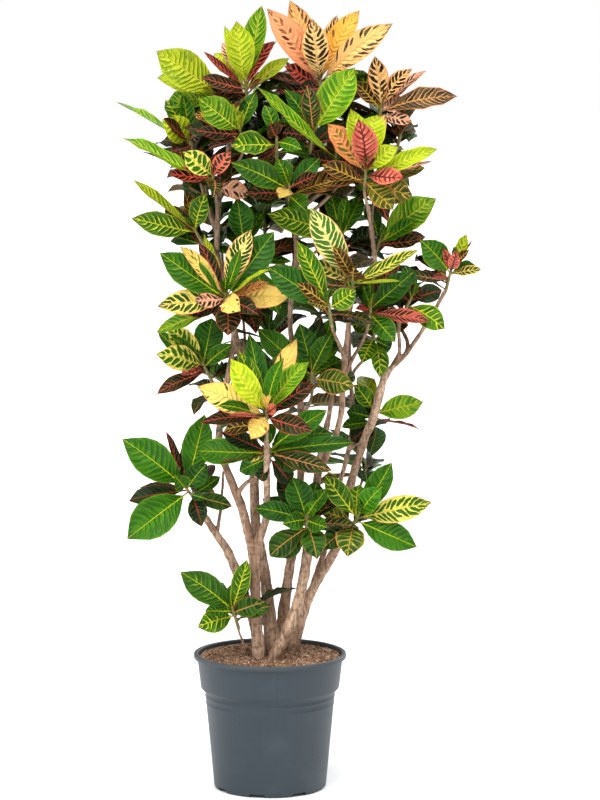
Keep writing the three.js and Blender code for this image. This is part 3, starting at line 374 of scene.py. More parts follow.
# the leafy tips that the photo shows, in mm: middle, lean, the limb and height that the twig leaves, and
# how many more leaves the rule adds behind. Each leaf is its point from the middle, its width, the turn of
# its face from the viewer in degrees, and its kind. Fillers are leaves that show between the others
tips = {
    "crown_left": {
        "at": (-45, -20, 1410), "lean": (-10, -25, 100), "from": ("tall", "trunk", 1360),
        "tone": "lime", "spare": 1, "leaves": [
            (-20, -15, 145, 58, 8, "lime"), (30, 30, 175, 46, 15, "fresh"), (60, -5, 105, 30, 62, "red"),
            (-85, -10, 85, 26, 58, "red"), (-90, -45, 35, 34, 35, "dark"), (-50, 30, 100, 36, 20, "blush"),
            (-65, 50, 80, 44, 25, "lime"), (45, 25, 45, 26, 30, "bronze"), (-65, 30, 0, 30, 30, "dark"),
            (30, -50, 30, 20, 68, "dark"), (-20, -55, -25, 24, 60, "dark"), (85, 55, 70, 30, 30, "lime"),
        ],
        "filler": [(-45, 25, 135, 26, 10, "lime"), (55, 5, 105, 36, 35, "red")],
    },
    "upper_left": {
        "at": (-95, 30, 1390), "lean": (-35, -20, 100), "from": ("tall", "trunk", 1300),
        "tone": "lime", "spare": 2, "leaves": [
            (-130, -35, 105, 76, 10, "lime"), (-130, 10, 50, 50, 25, "lime"),
            (-75, -55, 30, 18, 78, "blush"), (-60, 45, 10, 36, 20, "gold"), (20, -30, 0, 30, 20, "green"),
        ],
        "filler": [(-115, 30, -5, 46, 25, "fresh")],
    },
    "left_high": {
        "at": (-155, 30, 1300), "lean": (-30, -20, 100), "from": ("tall", "left", 1215),
        "tone": "lime", "spare": 1, "leaves": [
            (-60, -45, 60, 56, 10, "lime"), (-20, -25, 110, 32, 20, "green"),
            (-55, 25, 95, 38, 20, "veined"), (-55, -60, 65, 30, 50, "dark"),
            (-155, 25, 90, 34, 74, "fresh"), (30, 10, 75, 26, 40, "gold"), (5, 40, 70, 24, 40, "dark"),
            (-45, -50, -5, 26, 50, "dark"), (25, -20, -15, 24, 30, "dark"),
        ],
    },
    "left_fan": {
        "at": (-110, -45, 1235), "lean": (-10, -60, 80), "from": ("tall", "trunk", 1150),
        "tone": "dark", "spare": 0, "leaves": [
            (-185, -10, 90, 44, 60, "fresh"), (-60, -55, 65, 46, 12, "trim"), (-90, -40, 20, 36, 40, "red"),
            (35, -35, 65, 34, 18, "rose"), (-5, 30, 50, 24, 25, "dark"), (0, -65, -25, 32, 15, "dusk"),
            (70, 15, -25, 40, 20, "blush"), (-150, 50, 60, 16, 76, "dark"),
        ],
    },
    "left_mid": {
        "at": (-140, -25, 1125), "lean": (-45, -30, 80), "from": ("tall", "trunk", 1040),
        "tone": "green", "spare": 1, "leaves": [
            (-135, -30, 40, 50, 12, "veined"), (15, -30, 90, 42, 15, "veined"),
            (-135, 30, 115, 36, 64, "lime"), (-70, 40, 55, 38, 25, "dark"), (-30, 10, 95, 34, 40, "bronze"),
            (-40, 50, 25, 30, 60, "dark"),
        ],
    },
    "mid_high": {
        "at": (-55, -50, 1325), "lean": (-10, -50, 90), "from": ("tall", "trunk", 1230),
        "tone": "lime", "spare": 1, "leaves": [
            (-85, -35, 80, 60, 18, "fresh"), (30, 10, 90, 36, 20, "green"), (-90, -20, 15, 34, 30, "dark"),
            (-65, -40, -20, 28, 60, "dark"),
        ],
    },
    "mid_crown": {
        "at": (15, -70, 1310), "lean": (0, -50, 90), "from": ("centre", "crown", 1150),
        "tone": "dark", "spare": 0, "leaves": [
            (-90, -35, 0, 52, 30, "veined"), (-15, -25, 45, 36, 20, "dark"), (-25, 10, 80, 32, 15, "green"),
            (-40, -25, -40, 22, 50, "dark"), (-65, 15, -25, 24, 55, "dark"), (50, -45, -5, 28, 20, "green"),
        ],
    },
    "crown_mid": {
        "at": (85, -40, 1320), "lean": (15, -40, 100), "from": ("centre", "crown", 1260),
        "tone": "green", "spare": 1, "leaves": [
            (85, -30, 145, 72, 12, "fresh"), (-10, -45, 110, 40, 12, "dusk"),
            (-60, -30, 15, 34, 40, "dark"), (-55, 0, 100, 36, 25, "forest"),
        ],
    },
    "crown_centre": {
        "at": (100, 10, 1415), "lean": (5, -20, 100), "from": ("centre", "crown", 1360),
        "tone": "peach", "spare": 1, "leaves": [
            (-105, -35, 165, 56, 10, "salmon"), (-60, 25, 180, 50, 5, "peach"),
            (-15, -25, 145, 56, 0, "ladder"), (35, 25, 150, 36, 10, "ladder"),
            (80, 10, 160, 50, 20, "orange"), (145, -25, 135, 54, 15, "peach"),
            (-70, -20, 50, 40, 30, "red"), (-100, -10, 30, 28, 50, "dark"), (-45, -55, 0, 42, 20, "dark"),
            (-90, -25, 0, 30, 40, "dark"),
        ],
    },
    "crown_right": {
        "at": (220, 10, 1365), "lean": (20, -15, 100), "from": ("centre", "crown", 1200),
        "tone": "peach", "spare": 0, "leaves": [
            (-10, -15, 120, 42, 5, "ladder"), (65, -10, 95, 34, 28, "ladder"),
            (95, 20, 90, 26, 55, "blush"), (50, 10, 30, 44, 20, "blush"), (-45, 10, 65, 36, 20, "bronze"),
            (-55, 35, 90, 34, 20, "veined"), (155, -10, 40, 46, 25, "umber"),
            (65, -30, -10, 28, 30, "blush"),
        ],
    },
    "right_high": {
        "at": (190, -75, 1245), "lean": (5, -55, 90), "from": ("right", "rise", 1180),
        "tone": "coral", "spare": 0, "leaves": [
            (-15, -35, 120, 54, 8, "coral"), (-75, -5, 110, 48, 20, "rust"), (25, -10, 125, 58, 10, "lime"),
            (-30, 20, 140, 48, 10, "lime"), (40, 25, 125, 40, 30, "gold"), (65, 0, 65, 40, 25, "lime"),
            (145, -10, 60, 38, 35, "lime"), (135, 10, 35, 30, 60, "blush"), (75, -50, 5, 40, 35, "coral"),
            (120, 10, 20, 50, 40, "olive"), (55, -25, -60, 54, 30, "olive"),
            (-85, 5, -10, 30, 35, "bronze"), (20, -55, 45, 14, 60, "dark"),
        ],
        "filler": [(95, 20, -35, 54, 15, "olive"), (45, -5, -85, 30, 30, "dark")],
    },
    "inner_high": {
        "at": (135, -30, 1270), "lean": (-10, -40, 90), "from": ("centre", "crown", 1140),
        "tone": "green", "spare": 2, "leaves": [
            (-160, -70, 160, 34, 45, "fresh"), (-60, 10, 15, 40, 30, "dark"), (-10, 0, 50, 36, 20, "dark"),
        ],
    },
    "centre_high": {
        "at": (40, -60, 1215), "lean": (0, -60, 80), "from": ("centre", "trunk", 1160),
        "tone": "green", "spare": 1, "leaves": [
            (-115, -45, 65, 52, 12, "green"), (-25, -10, 70, 40, 20, "green"),
            (60, 10, 70, 40, 20, "forest"), (-85, -30, 0, 36, 40, "dark"), (55, -30, 40, 30, 35, "dark"),
            (-20, -60, -5, 32, 30, "gold"), (35, -20, -35, 42, 15, "green"),
        ],
    },
    "mid_upper": {
        "at": (145, 0, 1110), "lean": (-10, -30, 100), "from": ("right", "slim", 1060),
        "tone": "green", "spare": 2, "leaves": [
            (-25, 10, 110, 38, 15, "green"), (10, -20, 100, 28, 35, "green"),
            (-150, -45, 65, 58, 12, "veined"), (20, 30, 70, 40, 20, "green"),
        ],
        "filler": [(40, 30, 95, 40, 15, "green")],
    },
    "right_upper": {
        "at": (215, 15, 1095), "lean": (30, -20, 100), "from": ("right", "rise", 1000),
        "tone": "green", "spare": 2, "leaves": [
            (120, 0, 105, 66, 18, "fresh"), (80, -40, 65, 38, 40, "green"), (90, -20, 25, 36, 40, "dark"),
            (-20, 10, 90, 36, 20, "green"),
        ],
        "filler": [(100, 25, 25, 32, 20, "dark")],
    },
    "centre": {
        "at": (165, -115, 1035), "lean": (0, -60, 80), "from": ("pale", "reach", 990),
        "tone": "green", "spare": 0, "leaves": [
            (-85, -35, 160, 60, 8, "cream"), (-40, -50, 85, 30, 20, "bronze"),
            (0, -65, 45, 46, 10, "bronze"), (-85, -35, 50, 36, 30, "flame"), (130, -30, 75, 30, 35, "trim"),
            (95, -50, 15, 16, 76, "lime"), (90, 10, 45, 34, 40, "veined"),
        ],
    },
    "centre_low": {
        "at": (120, -145, 985), "lean": (-10, -55, 80), "from": ("pale", "reach", 880),
        "tone": "green", "spare": 0, "leaves": [
            (-125, -30, 95, 60, 10, "forest"), (-65, 5, 145, 42, 15, "veined"),
            (-65, -45, 65, 28, 30, "bronze"), (50, -40, 50, 44, 10, "veined"),
            (-45, -50, 25, 28, 40, "flame"),
        ],
    },
    "right_mid": {
        "at": (200, -65, 975), "lean": (10, -50, 85), "from": ("pale", "reach", 840),
        "tone": "green", "spare": 2, "leaves": [
            (85, -20, 85, 52, 12, "forest"), (50, -60, -50, 46, 20, "green"),
            (120, -10, -15, 34, 35, "rose"), (-15, -25, 60, 24, 30, "forest"),
            (-30, -45, 15, 16, 40, "red"),
        ],
        "filler": [(60, 20, 120, 40, 20, "dark")],
    },
    "far_right": {
        "at": (360, 0, 1040), "lean": (25, -10, 100), "from": ("right", "trunk", 1010),
        "tone": "green", "spare": 0, "leaves": [
            (-60, -30, 80, 54, 8, "green"), (35, 5, 90, 28, 35, "lime"), (50, 30, 80, 12, 70, "red"),
            (-15, -25, 65, 20, 30, "coral"), (10, -30, 65, 24, 10, "coral"),
            (40, -10, 60, 20, 35, "bronze"), (65, -15, 20, 26, 45, "flame"), (55, 20, 25, 30, 30, "green"),
            (-35, -30, 5, 16, 50, "red"), (-85, -10, 10, 28, 40, "dusk"),
        ],
    },
    "right_low": {
        "at": (275, -45, 990), "lean": (40, -30, 80), "from": ("right", "trunk", 870),
        "tone": "green", "spare": 0, "leaves": [
            (75, -45, -45, 48, 12, "veined"), (30, -10, 35, 36, 25, "dark"), (-15, 20, 30, 32, 30, "dark"),
            (-50, -10, -25, 30, 30, "dark"),
        ],
        "filler": [(70, 10, 30, 40, 15, "night"), (-5, 15, 80, 34, 20, "forest")],
    },
    "left_front": {
        "at": (-85, -125, 1005), "lean": (-5, -60, 80), "from": ("front", "trunk", 940),
        "tone": "green", "spare": 0, "leaves": [
            (-130, -25, 100, 62, 10, "green"), (-90, -20, 115, 34, 30, "gold"),
            (50, -15, 145, 48, 10, "lace"), (30, -55, 110, 26, 30, "green"),
            (95, -5, 140, 68, 12, "forest"), (90, -45, 70, 20, 70, "lime"), (85, -55, 45, 26, 50, "rust"),
            (125, -10, 10, 50, 20, "gold"), (-135, -35, -5, 50, 12, "flame"),
            (-60, -65, 10, 32, 30, "blush"), (30, -85, -10, 44, 10, "gold"), (65, -55, -20, 40, 25, "dark"),
            (5, -65, -60, 52, 5, "dark"), (-75, -10, -25, 42, 20, "dark"), (-55, 25, 115, 32, 30, "dark"),
            (-45, 35, 130, 28, 48, "lime"),
        ],
        "filler": [(-140, 40, -65, 36, 35, "fresh")],
    },
    "left_back": {
        "at": (-50, -10, 1090), "lean": (0, -20, 100), "from": ("tall", "trunk", 960),
        "tone": "green", "spare": 2, "leaves": [
            (-15, -15, 115, 52, 8, "forest"), (40, 10, 85, 36, 30, "green"), (110, 10, 5, 28, 50, "dark"),
            (95, -10, -15, 26, 40, "green"), (70, 0, -120, 44, 20, "green"),
        ],
    },
    "left_low": {
        "at": (-125, -60, 860), "lean": (-35, -40, 80), "from": ("front", "trunk", 770),
        "tone": "green", "spare": 1, "leaves": [
            (-80, -10, 90, 46, 15, "trim"), (-70, -50, 75, 28, 40, "green"),
            (10, -10, 105, 60, 5, "forest"), (-100, -30, 40, 52, 12, "trim"),
            (55, -35, 60, 34, 25, "green"), (-50, -55, 0, 22, 50, "coral"),
            (-100, -10, -45, 32, 20, "dark"), (-100, 50, 75, 36, 42, "green"),
        ],
    },
    "front": {
        "at": (-5, -185, 780), "lean": (0, -60, 80), "from": ("front", "right", 730),
        "tone": "gold", "spare": 0, "leaves": [
            (-135, -40, 70, 56, 12, "gold"), (-70, -40, 125, 50, 8, "lime"),
            (35, -25, 125, 32, 25, "plain"), (85, -10, 115, 44, 25, "fresh"), (60, 30, 155, 40, 12, "gold"),
            (-55, 15, 135, 38, 20, "veined"), (95, -20, 70, 42, 15, "dark"), (90, -60, -15, 42, 20, "dark"),
            (-130, -20, -5, 30, 25, "dark"), (-95, -45, 35, 28, 45, "green"),
            (-75, -60, 20, 14, 60, "coral"), (-30, -75, -30, 42, 15, "gold"),
            (20, -65, 35, 24, 30, "coral"),
        ],
        "filler": [
            (-35, 40, 165, 40, 15, "forest"), (-10, 35, 135, 44, 15, "night"),
            (35, 40, 130, 40, 20, "green"),
        ],
    },
    "front_low": {
        "at": (0, -135, 705), "lean": (0, -65, 75), "from": ("front", "trunk", 605),
        "tone": "green", "spare": 0, "leaves": [
            (-55, -45, -25, 38, 10, "trim"), (35, -70, -10, 44, 15, "forest"),
            (-145, -15, -5, 54, 15, "green"), (-100, -60, -20, 12, 70, "coral"),
            (125, -30, -30, 40, 15, "dusk"), (55, -50, -45, 34, 20, "ember"),
            (135, -10, -45, 12, 78, "lime"), (115, 10, 85, 46, 15, "plain"),
            (170, 10, 20, 34, 20, "forest"), (-45, 20, -55, 40, 40, "dark"),
        ],
        "filler": [
            (-95, 20, 40, 36, 20, "night"), (-60, 25, -40, 38, 20, "forest"),
            (-15, 25, 55, 46, 15, "green"), (55, 25, 40, 40, 25, "green"), (45, 25, -65, 40, 20, "night"),
            (-15, 20, -60, 34, 30, "night"),
        ],
    },
    "mid_inner": {
        "at": (85, -50, 840), "lean": (0, -40, 90), "from": ("centre", "trunk", 740),
        "tone": "green", "spare": 2, "leaves": [
            (85, -55, -5, 52, 8, "tawny"), (-25, 0, 115, 48, 10, "forest"), (40, -10, 100, 42, 25, "green"),
            (-110, 0, 105, 52, 15, "green"), (50, -25, 65, 30, 40, "green"),
        ],
        "filler": [
            (45, 30, 125, 42, 15, "green"), (50, 20, 85, 42, 15, "forest"), (60, 20, 40, 42, 20, "green"),
            (20, 25, 125, 42, 20, "night"),
        ],
    },
    "low_left": {
        "at": (-160, -40, 610), "lean": (-50, -35, 75), "from": ("low", "trunk", 570),
        "tone": "green", "spare": 0, "leaves": [
            (-135, -30, 115, 74, 10, "plain"), (30, 5, 160, 60, 10, "plain"),
            (-125, -50, -85, 82, 8, "plain"), (-30, -50, 45, 36, 15, "green"),
            (35, -30, 65, 48, 12, "forest"), (-125, 25, -20, 38, 25, "night"),
            (-105, 45, 5, 26, 40, "dark"), (85, -10, -25, 34, 20, "ember"), (25, -50, -60, 40, 8, "night"),
            (35, -40, -5, 20, 20, "forest"), (-50, 50, 120, 22, 50, "dark"), (-15, -10, 95, 26, 30, "dark"),
            (60, 30, 30, 32, 40, "green"),
        ],
    },
    "lowest": {
        "at": (-70, -50, 360), "lean": (-25, -25, 90), "from": ("shoot", "trunk", 330),
        "tone": "green", "spare": 0, "leaves": [
            (-110, -20, 95, 60, 10, "green"), (25, -15, 120, 38, 10, "veined"),
            (-60, -50, 20, 32, 45, "green"), (-75, -35, -15, 50, 12, "veined"),
            (60, -50, 40, 42, 15, "ember"), (75, 40, 25, 36, 20, "ember"), (30, 25, 75, 30, 30, "ember"),
        ],
    },
    "low_right": {
        "at": (170, -65, 555), "lean": (35, -55, 75), "from": ("pale", "trunk", 600),
        "tone": "green", "spare": 0, "leaves": [
            (75, 10, 120, 50, 12, "plain"), (55, -45, 80, 46, 20, "plain"),
            (-60, -20, 100, 44, 12, "veined"), (155, -25, 45, 54, 10, "trim"),
            (125, -45, -45, 58, 10, "plain"), (-15, -60, -60, 60, 8, "tawny"),
            (-65, -35, -50, 44, 18, "ember"), (-70, -5, 25, 32, 30, "tawny"),
            (10, 45, 70, 38, 20, "veined"),
        ],
    },
    "low_mid": {
        "at": (75, -105, 560), "lean": (-5, -60, 80), "from": ("pale", "trunk", 485),
        "tone": "green", "spare": 0, "leaves": [
            (-30, -10, 95, 56, 8, "forest"), (-60, 25, 65, 34, 25, "forest"),
            (20, -50, 55, 26, 15, "green"), (40, 15, 70, 34, 25, "green"), (-50, -45, 5, 38, 15, "green"),
            (-105, 0, 30, 42, 15, "forest"), (40, -55, 0, 36, 20, "green"), (20, -50, -65, 52, 8, "ember"),
            (-50, 20, -75, 44, 12, "ember"),
        ],
        "filler": [
            (-60, 35, 85, 38, 15, "night"), (-75, 15, -70, 52, 15, "ember"), (20, 35, 80, 42, 15, "forest"),
            (-30, 10, -30, 34, 20, "night"),
        ],
    },
    "right_side": {
        "at": (210, 25, 755), "lean": (15, -30, 90), "from": ("right", "slim", 680),
        "tone": "lime", "spare": 1, "leaves": [
            (100, -20, 35, 50, 12, "fresh"), (-40, -15, 70, 36, 15, "veined"),
            (95, -10, -25, 14, 76, "red"), (-10, -40, -45, 34, 40, "dark"), (-65, 15, -20, 32, 40, "green"),
        ],
        "filler": [(-45, 10, -50, 38, 20, "night"), (-55, 15, 10, 34, 20, "forest")],
    },
    "mid_right": {
        "at": (210, -20, 930), "lean": (10, -40, 85), "from": ("right", "slim", 830),
        "tone": "green", "spare": 1, "leaves": [
            (-25, -50, -55, 42, 12, "veined"), (10, -30, -85, 40, 20, "veined"),
            (-45, 0, 20, 38, 20, "veined"), (25, 10, 65, 36, 20, "green"),
        ],
        "filler": [(35, 20, -30, 36, 20, "forest"), (-25, 15, -30, 36, 25, "night")],
    },
}
# tips behind and inside: middle, lean, limb and height, tone, and how many leaves the rule sets round them
# most inner tips take the dark tone, whose dark leaves paint the shade deep inside the plant
hiddenTips = {
    "inner_crown": ((62, 48, 1385), (10, 15, 100), ("centre", "crown", 1310), "dark", 7),
    "inner_top_left": ((-22, 42, 1325), (10, 20, 100), ("tall", "trunk", 1250), "dark", 7),
    "inner_top_right": ((262, 50, 1325), (20, 20, 100), ("centre", "crown", 1180), "dark", 7),
    "inner_right": ((165, 45, 1285), (10, 20, 100), ("centre", "crown", 1215), "green", 7),
    "inner_left": ((-128, 62, 1222), (-15, 20, 100), ("tall", "trunk", 1120), "dark", 7),
    "inner_middle": ((-12, 58, 1150), (-10, 20, 100), ("centre", "trunk", 1030), "green", 7),
    "inner_centre": ((102, 62, 1130), (10, 20, 100), ("centre", "trunk", 1060), "dark", 7),
    "inner_low": ((2, 52, 905), (-15, 20, 100), ("centre", "trunk", 790), "green", 7),
    "back_top_left": ((-20, 115, 1340), (-5, 40, 100), ("tall", "trunk", 1240), "lime", 6),
    "back_top": ((95, 125, 1365), (5, 35, 100), ("centre", "crown", 1260), "peach", 6),
    "back_high_right": ((215, 85, 1220), (20, 45, 100), ("right", "rise", 1085), "green", 6),
    "back_high": ((45, 140, 1200), (0, 50, 100), ("centre", "trunk", 1040), "green", 6),
    "back_high_left": ((-110, 105, 1145), (-25, 45, 100), ("tall", "trunk", 1000), "green", 6),
    "back_right": ((270, 90, 985), (30, 45, 90), ("right", "trunk", 890), "green", 6),
    "back_centre": ((110, 155, 1010), (5, 55, 90), ("centre", "trunk", 860), "gold", 6),
    "back_left": ((-60, 130, 975), (-15, 55, 90), ("tall", "trunk", 825), "green", 6),
    "back_low_left": ((-85, 95, 800), (-30, 50, 90), ("tall", "trunk", 650), "green", 6),
    "back_low": ((65, 150, 770), (0, 55, 90), ("centre", "trunk", 605), "coral", 6),
    "back_low_right": ((195, 100, 640), (25, 50, 85), ("right", "trunk", 540), "green", 6),
}
for name, (at, lean, limb, tone, count) in hiddenTips.items():
    tips[name] = {"at": at, "lean": lean, "from": limb, "tone": tone, "round": count}

burial = 75  # how far a stem goes on below the soil's surface, in mm
tubeStep = 4
shootBelow = 24
shootAbove = 26
twigs = {"steps": 8, "foot": 4.5, "footShare": 0.9, "end": 3.2, "collar": 1.25, "pull": 0.35}
wood = {
    "sides": 18, "voxel": 0.0016, "soften": (0.5, 4), "relief": 0.0012,
    "knots": 0.03, "knotSpacing": 0.036, "wander": 11.0, "wanderTurns": 22, "uneven": 0.2,
}


def limbOf(stem, limb):
    path = stems[stem][limb]
    if limb == "trunk":
        x, y, z, radius = path[0]
        return [(x, y, z - burial, radius)] + path
    return path


def pointAtHeight(path, height):
    last = len(path) - 2
    i = next((k for k in range(last + 1) if path[k + 1][2] >= height), last)
    share = min(max((height - path[i][2]) / (path[i + 1][2] - path[i][2]), 0), 1)
    spot = [a + (b - a) * share for a, b in zip(path[i], path[i + 1])]
    along = (Vector(path[i + 1][:3]) - Vector(path[i][:3])).normalized()
    return Vector(spot[:3]), spot[3], along


def shootAxis(tip):
    return Vector(tip["lean"]).normalized()


def twigPath(tip):
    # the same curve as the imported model's twig, sampled finer
    stem, limb, height = tip["from"]
    start, radius, along = pointAtHeight(limbOf(stem, limb), height)
    axis = shootAxis(tip)
    end = Vector(tip["at"]) - axis * shootBelow
    span = (end - start).length
    away = ((end - start).normalized() + along).normalized()
    handles = [start, start + away * span * twigs["pull"], end - axis * span * twigs["pull"], end]
    foot = min(radius * twigs["footShare"], twigs["foot"])
    path = []
    for k in range(twigs["steps"] + 1):
        t = k / twigs["steps"]
        weights = ((1 - t) ** 3, 3 * t * (1 - t) ** 2, 3 * t * t * (1 - t), t ** 3)
        spot = sum((w * h for w, h in zip(weights, handles)), Vector())
        swell = 1 + (twigs["collar"] - 1) * max(0, 1 - 4 * t)
        path.append((*spot, (foot + (twigs["end"] - foot) * t) * swell))
    return path


def smoothPath(path):
    # a smooth curve through the path's points, radius and all
    points = [np.array(p, float) for p in path]
    points = [2 * points[0] - points[1]] + points + [2 * points[-1] - points[-2]]
    out = []
    for a, b, c, d in zip(points, points[1:], points[2:], points[3:]):
        steps = max(2, int(np.linalg.norm(c[:3] - b[:3]) / (3 * tubeStep)))
        square, cube = 2 * a - 5 * b + 4 * c - d, 3 * b - a - 3 * c + d
        for t in np.arange(steps) / steps:
            out.append(0.5 * (2 * b + (c - a) * t + square * t * t + cube * t ** 3))
    return out + [points[-2]]


def limbCurve(name, paths):
    data = bpy.data.curves.new(name, "CURVE")
    data.dimensions = "3D"
    for path in paths:
        spline = data.splines.new("POLY")
        spline.points.add(len(path) - 1)
        for point, (x, y, z, radius) in zip(spline.points, path):
            point.co = (x * mm, y * mm, z * mm, 1)
            point.radius = radius * mm
    return newObject(name, data)


def limbTree():
    # tubes along the limbs, swollen a little at the old leaf nodes
    tree, wires, leave = newTree("limbTubes", {
        "Sides": ("Int", wood["sides"]),
        "Knots": wood["knots"],
        "Knot spacing": wood["knotSpacing"],
        "Step": tubeStep * mm,
    })
    curve = outOf(tree, "GeometryNodeResampleCurve", {"mode": "LENGTH"}, Curve=wires["Geometry"],
                  Length=wires["Step"])
    radius = outOf(tree, "GeometryNodeInputRadius")
    run = outOf(tree, "GeometryNodeSplineParameter", out=1)
    wander = noise(tree, outOf(tree, "GeometryNodeInputPosition"), wood["wander"])
    swell = (run / wires["Knot spacing"] * math.tau + wander * wood["wanderTurns"]).sine() ** 3
    radius = radius * (1 + swell * wires["Knots"] + (wander - 0.5) * wood["uneven"])
    plug(tree, leave.inputs[0], tube(tree, curve, radius, wires["Sides"]))
    return tree


def barkReliefTree(material):
    # ridges, dents and ring marks over the fused limbs
    tree, wires, leave = newTree("barkRelief", {"Relief": wood["relief"]})
    place = outOf(tree, "GeometryNodeInputPosition")
    normal = outOf(tree, "GeometryNodeInputNormal")
    coarse = noise(tree, place.stretched(1, 1, 0.35), 70, 3) - 0.5
    rings = noise(tree, place.stretched(0.4, 0.4, 1), 190) - 0.5
    height = (coarse * 2.6 + rings * 0.8) * wires["Relief"]
    moved = outOf(tree, "GeometryNodeSetPosition", Geometry=wires["Geometry"], Offset=normal.times(height))
    plug(tree, leave.inputs[0], dressed(tree, moved, material, smooth=True))
    return tree


barkColours = {
    "wood": (142, 112, 90), "light": (200, 168, 142), "pale": (222, 198, 178), "fleck": (98, 74, 58),
    "ring": (92, 70, 54), "crack": (74, 56, 44), "scar": (84, 62, 48), "young": (176, 150, 120),
    "foot": (92, 68, 50),
}


def barkMaterial():
    # tan bark with darker cracks, leaf scars in rings, and dark specks
    material, tree, shader = newMaterial("tanBark", 0.85, 0.2)
    place = outOf(tree, "ShaderNodeTexCoord", out=3)
    patches = noise(tree, place.stretched(1, 1, 0.3), 24, 6, 0.66)
    flecks = noise(tree, place.stretched(1, 1, 0.6), 170, 5)
    rings = noise(tree, place.stretched(0.15, 0.15, 1), 210, 3)
    cracks = noise(tree, place.stretched(1, 1, 0.1), 260, 4)
    scars = outOf(tree, "ShaderNodeTexVoronoi", Vector=place.stretched(1, 1, 0.55), Scale=62)
    height = place.parts()[2]
    colour = layered(tree, barkColours, "wood", {
        "light": patches.step(0.36, 0.64),
        "pale": patches.step(0.62, 0.76) * 0.7,
        "fleck": flecks.step(0.49, 0.6) * 0.6,
        "ring": rings.step(0.56, 0.7) * 0.35,
        "crack": cracks.step(0.54, 0.64) * 0.55,
        "scar": (1 - scars.step(0.1, 0.2)) * 0.4,
        "young": height.step(0.95, 1.3) * 0.4,  # upper wood is younger and greyer
        "foot": (1 - height.step(0.27, 0.31)) * 0.4,  # soil stain at the foot
    })
    plug(tree, shader.inputs["Base Color"], colour)
    bump(tree, shader, rings * 0.7 + cracks * 0.8 + flecks * 0.6 + scars.step(0.1, 0.25) * 0.5, 0.6, 0.0016)
    return material


def growWood():
    tubes = limbTree()
    relief = barkReliefTree(barkMaterial())
    for stem in stems:
        paths = [smoothPath(limbOf(stem, limb)) for limb in stems[stem]]
        paths += [smoothPath(twigPath(tip)) for tip in tips.values() if tip["from"][0] == stem]
        limbs = newObject("wood_" + stem, shapeWith(limbCurve("limbs_" + stem, paths), tubes))
        fuse = limbs.modifiers.new("fuse", "REMESH")
        fuse.mode = "VOXEL"
        fuse.voxel_size = wood["voxel"]
        soften = limbs.modifiers.new("soften", "SMOOTH")
        soften.factor, soften.iterations = wood["soften"]
        addPiece("wood_" + stem, shapeWith(limbs, relief), "bark", "stem_" + stem)
    print("wood grown:", len(stems), "stems")


